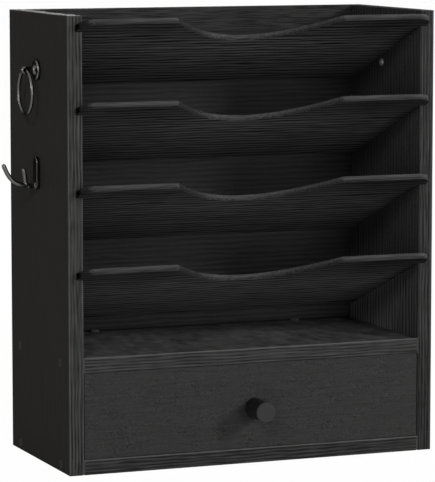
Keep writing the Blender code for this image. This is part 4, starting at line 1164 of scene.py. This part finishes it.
class SORTER_OT_double_hooks(PieceOperator, bpy.types.Operator):
    """Casts the double hooks: a round-ended plate that flows into a long and a short prong"""

    bl_idname = "sorter.double_hooks"
    bl_label = "Double hooks"

    # Each prong's reach and rise, then its ends and handles as shares of them
    long_prong = ((28.5 * MM, 16.9 * MM), ((0.02, 0.0), (0.5, 0.1), (0.78, 0.0), (1.0, 1.0)))
    short_prong = ((11.8 * MM, 12.8 * MM), ((0.55, 0.02), (0.93, 0.02), (0.9, 0.4), (1.0, 1.0)))
    plate_width, plate_height, plate_thickness = 10.0 * MM, 26.0 * MM, 2.8 * MM
    # How far the prongs' root lies under the plate's middle, and the screws' middle over it
    root_drop, screw_rise, root_radius = 10.6 * MM, 2.4 * MM, 2.6 * MM

    def make(self, sizes):
        for word, side in SIDES:
            self.hook(f"{word}_double_hook", side, sizes)

    def prong(self, name, sweep, sizes):
        """One prong along a curve whose handles are shares of its reach and rise."""
        (reach, rise), route = sweep
        curve = bpy.data.curves.new(name, "CURVE")
        curve.dimensions = "3D"
        curve.resolution_u = 40
        spline = curve.splines.new("BEZIER")
        spline.bezier_points.add(1)
        points = [Vector((x * reach, 0, z * rise - self.root_drop)) for x, z in route]
        for point in spline.bezier_points:
            point.handle_left_type = point.handle_right_type = "FREE"
        first, last = spline.bezier_points
        first.co, first.handle_left, first.handle_right = points[0], points[0], points[1]
        last.co, last.handle_left, last.handle_right = points[3], points[2], points[3]
        values = {
            "Root radius": sizes.prong_root, "Neck radius": sizes.prong_neck,
            "Tip radius": sizes.prong_tip, "Neck place": 0.62, "Steps": 24,
            "Finish": finish("black_plating")}
        return run_tree(linked(name, curve), tree("prong"), values)

    def plate(self, name):
        """The plate's outline with its round ends, extruded."""
        half = self.plate_width / 2
        rise = self.plate_height / 2 - half
        outline = arc((0, rise), half, 0, pi, 24) + arc((0, -rise), half, pi, tau, 24)
        shape = bmesh.new()
        face = shape.faces.new([shape.verts.new((0, y, z)) for y, z in outline])
        made = bmesh.ops.extrude_face_region(shape, geom=[face])
        moved = [v for v in made["geom"] if isinstance(v, bmesh.types.BMVert)]
        bmesh.ops.translate(shape, verts=moved, vec=(self.plate_thickness, 0, 0))
        return mesh_of(shape, name)

    def hook(self, node, side, sizes):
        """One hook, its shapes flowed together into a single skin."""
        low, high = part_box(node)
        screws = [middle_of(n) for n in numbered(f"{node}_screw", 2)]
        centre_z = (screws[0].z + screws[1].z) / 2 - self.screw_rise
        shape = bmesh.new()
        shape.from_mesh(self.plate("plate"))
        for name, sweep in (("long_prong", self.long_prong), ("short_prong", self.short_prong)):
            shape.from_mesh(self.prong(name, sweep, sizes))
        root = bmesh.ops.create_uvsphere(
            shape, u_segments=24, v_segments=16, radius=self.root_radius)
        bmesh.ops.scale(shape, verts=root["verts"], vec=(0.8, 1, 0.9))
        bmesh.ops.translate(
            shape, verts=root["verts"],
            vec=(self.plate_thickness * 0.7, 0, -self.root_drop + 0.7 * MM))
        bmesh.ops.recalc_face_normals(shape, faces=shape.faces)
        mesh = plain_mesh(shape, "cast_hook")
        mesh = modified("skin", mesh, "REMESH", mode="VOXEL", voxel_size=sizes.casting_grain)
        mesh = modified("cast_" + node, mesh, "SMOOTH", factor=0.5, iterations=14)
        foot = low.x if side > 0 else high.x
        turn = Matrix.Rotation(0 if side > 0 else pi, 4, "Z")
        mesh.transform(Matrix.Translation((foot, 0, centre_z)) @ turn)
        settle("cast_" + node, mesh, "black_plating", "case", [node], 180)


class SORTER_OT_case_fasteners(PieceOperator, bpy.types.Operator):
    """Sets the screws, dowels and round fittings that hold the case together"""

    bl_idname = "sorter.case_fasteners"
    bl_label = "Case fasteners"

    def make(self, sizes):
        for word, side in SIDES:
            way = (side, 0, 0)
            for name, stem, count, head, look in (
                    ("panel_screws", "panel_screw", 4, 3.6 * MM, "dull_plating"),
                    ("hook_screws", "double_hook_screw", 2, 2.4 * MM, "black_plating")):
                nodes = numbered(f"{word}_{stem}", count)
                shape = countersunk(head, head / 2, span(nodes[0], 0))
                set_down(
                    f"{word}_{name}", shape, tops(nodes, way), look, "case", nodes)
            nodes = [f"{word}_ring_post_screw"]
            rise = 2.1 * MM
            shape = pan_head(3.2 * MM, rise, 1.5 * MM, span(nodes[0], 0) - rise)
            places = tops(nodes, (-side, 0, 0))
            set_down(f"{word}_post_screw", shape, places, "zinc_plating", "case", nodes)
            nodes = numbered(f"{word}_back_dowel", 3)
            set_down(
                f"{word}_back_dowels", fluted_dowel(), tops(nodes, way), "beech_across", "case",
                nodes)
        self.fittings()

    def fittings(self):
        """The two round fittings and their pins."""
        caps = numbered("board_fitting", 2)
        radius, rise, stem = span(caps[0], 0) / 2, 2.0 * MM, 2.8 * MM
        end = -span(caps[0], 2)
        dome = [(radius * x, (rise * 0.6) * (y - 1)) for x, y in arc((0, 0), 1.0, pi / 2, 0, 10)[1:]]
        profile = [(0, 0)] + dome + [(radius, -rise), (stem, -rise), (stem, end), (0, end)]
        shape = mesh_of(turned_shape(profile, 48), "fitting")
        set_down("board_fittings", shape, tops(caps, Z), "cap_plating", "case", caps)
        pins = numbered("board_fitting_pin", 2)
        end, radius, ease = -span(pins[0], 1), 2.0 * MM, 0.4 * MM
        profile = [(0, 0), (radius - ease, 0), (radius, -ease)]
        profile += [(radius, end + ease), (radius - ease, end), (0, end)]
        shape = mesh_of(turned_shape(profile, 32), "pin")
        set_down("fitting_pins", shape, tops(pins, Y), "zinc_plating", "case", pins)


class SORTER_OT_drawer_fasteners(PieceOperator, bpy.types.Operator):
    """Sets the drawer's screws and dowels, and the knob's machine screw"""

    bl_idname = "sorter.drawer_fasteners"
    bl_label = "Drawer fasteners"

    def make(self, sizes):
        screws = numbered("drawer_back_screw", 4)
        shape = countersunk(3.0 * MM, 1.5 * MM, span(screws[0], 0))
        places = []
        for node in screws:
            places += tops([node], X if middle_of(node).x > 0 else -X)
        set_down("drawer_screws", shape, places, "zinc_plating", "drawer", screws)
        nodes = numbered("drawer_front_dowel", 4)
        set_down(
            "drawer_dowels", fluted_dowel(), tops(nodes, Y), "beech_along", "drawer", nodes)
        nodes = ["knob_screw"]
        rise = 2.4 * MM
        shape = pan_head(3.75 * MM, rise, 1.95 * MM, span(nodes[0], 1) - rise)
        set_down(
            "knob_machine_screw", shape, tops(nodes, Y), "zinc_plating", "drawer", nodes)


class SORTER_OT_studio(PieceOperator, bpy.types.Operator):
    """Sets the floor, the lamps, the surroundings and the camera"""

    bl_idname = "sorter.studio"
    bl_label = "Studio"

    middle, lamp_reach = Vector((0, 0, 0.18)), 2.2
    # Each lamp's name, its degrees to the right and up, and its width in metres
    lamps = (
        ("key", 45, 20, 0.3), ("front", 15, 4, 0.9), ("high", -35, 26, 0.35),
        ("low", -30, 2, 1.0), ("left", -115, 10, 0.35), ("back", 172, 14, 0.9))

    def make(self, sizes):
        studio = bpy.context.scene.sorter_studio
        bpy.context.scene.view_settings.view_transform = "Standard"
        self.floor(studio)
        self.surroundings(studio)
        for name, turn, rise, size in self.lamps:
            power = getattr(studio, f"{name}_power")
            self.lamp(f"{name}_light", radians(turn), radians(rise), size, power)
        self.camera(studio)

    def seen(self, maker):
        """One where the camera, a reflection or glass looks, and nought for scattered light."""
        rays = [maker.node("ShaderNodeLightPath", output=label) for label in
                ("Is Camera Ray", "Is Glossy Ray", "Is Transmission Ray")]
        return maker.math("MINIMUM", rays[0] + rays[1] + rays[2], 1.0)

    def floor(self, studio):
        """A wide pale floor that keeps the object's shadow."""
        half = studio.floor_size / 2
        shape = bmesh.new()
        bmesh.ops.create_grid(shape, x_segments=8, y_segments=8, size=half)
        bmesh.ops.translate(shape, verts=shape.verts, vec=(0, 0, -FLOOR_DROP))
        item = linked("studio_floor", mesh_of(shape, "studio_floor"))
        made = Finish("pale_floor", Roughness=0.9, Specular_IOR_Level=0.1)
        mottle = made.speckle(0, 400 * MM, 400 * MM, 3.0)
        made.feed(Base_Color=made.blend_around(mottle, studio.floor_colour, 0.985))
        glow = made.node("ShaderNodeEmission", {"Color": (1, 1, 1, 1), "Strength": 1.0})
        surface = Signal(made, made.shader.outputs[0])
        mixed = made.node(
            "ShaderNodeMixShader", {0: self.seen(made) * studio.floor_glow, 1: surface, 2: glow})
        end = made.tree.nodes["Material Output"]
        made.tree.links.new(mixed.socket, end.inputs["Surface"])
        item.data.materials.append(made.material)

    def surroundings(self, studio):
        """A world that looks white and lights the object gently."""
        world = bpy.data.worlds.new("studio_world")
        world.use_nodes = True
        bpy.context.scene.world = world
        maker = Maker(world.node_tree)
        strength = studio.ambient + (1.0 - studio.ambient) * self.seen(maker)
        back = world.node_tree.nodes["Background"]
        back.inputs["Color"].default_value = (1, 1, 1, 1)
        world.node_tree.links.new(strength.socket, back.inputs["Strength"])

    def lamp(self, name, turn, rise, size, power):
        """A square soft lamp that faces the sorter's middle, so far to the right and up."""
        data = bpy.data.lights.new(name, "AREA")
        data.shape = "SQUARE"
        data.size = size
        data.energy = power
        item = linked(name, data)
        way = Vector((cos(rise) * sin(turn), -cos(rise) * cos(turn), sin(rise)))
        item.location = self.middle + way * self.lamp_reach
        item.rotation_euler = way.to_track_quat("Z", "Y").to_euler()

    def camera(self, studio):
        """The camera, at the view's angle."""
        data = bpy.data.cameras.new("camera")
        data.lens = studio.lens
        data.sensor_width = SENSOR_WIDTH
        data.clip_end = FAR
        item = linked("camera", data)
        item.location = studio.camera_place
        turn, fall = studio.view_angle, studio.view_fall
        forward = Vector((sin(turn) * cos(fall), cos(turn) * cos(fall), -sin(fall)))
        item.rotation_euler = forward.to_track_quat("-Z", "Y").to_euler()
        bpy.context.scene.camera = item


class SORTER_PT_panel(bpy.types.Panel):
    """Lists the steps that dress the sorter"""

    bl_idname = "SORTER_PT_panel"
    bl_label = "Envelope sorter"
    bl_space_type = "VIEW_3D"
    bl_region_type = "UI"
    bl_category = "Sorter"

    def draw(self, context):
        for operator in OPERATORS:
            self.layout.operator(operator.bl_idname)
        for group, _ in GROUPS:
            settings = getattr(context.scene, group)
            box = self.layout.box()
            for name in settings.__annotations__:
                box.prop(settings, name)


GROUPS = (
    ("sorter_shapes", SorterShapes), ("sorter_finishes", SorterFinishes),
    ("sorter_studio", SorterStudio))
OPERATORS = (
    SORTER_OT_case, SORTER_OT_shelves, SORTER_OT_drawer, SORTER_OT_knob, SORTER_OT_ring_hooks,
    SORTER_OT_double_hooks, SORTER_OT_case_fasteners, SORTER_OT_drawer_fasteners, SORTER_OT_studio)


def register():
    """Registers the classes and hangs the settings on the scene."""
    for _, group in GROUPS:
        bpy.utils.register_class(group)
    for operator in OPERATORS:
        bpy.utils.register_class(operator)
    bpy.utils.register_class(SORTER_PT_panel)
    for name, group in GROUPS:
        setattr(bpy.types.Scene, name, PointerProperty(type=group))


def unregister():
    """Takes the settings and the classes away again."""
    for name, _ in GROUPS:
        delattr(bpy.types.Scene, name)
    bpy.utils.unregister_class(SORTER_PT_panel)
    for operator in reversed(OPERATORS):
        bpy.utils.unregister_class(operator)
    for _, group in reversed(GROUPS):
        bpy.utils.unregister_class(group)


def main():
    """Runs every step in order."""
    register()
    for operator in OPERATORS:
        group, name = operator.bl_idname.split(".")
        getattr(getattr(bpy.ops, group), name)()


if __name__ == "__main__":
    main()
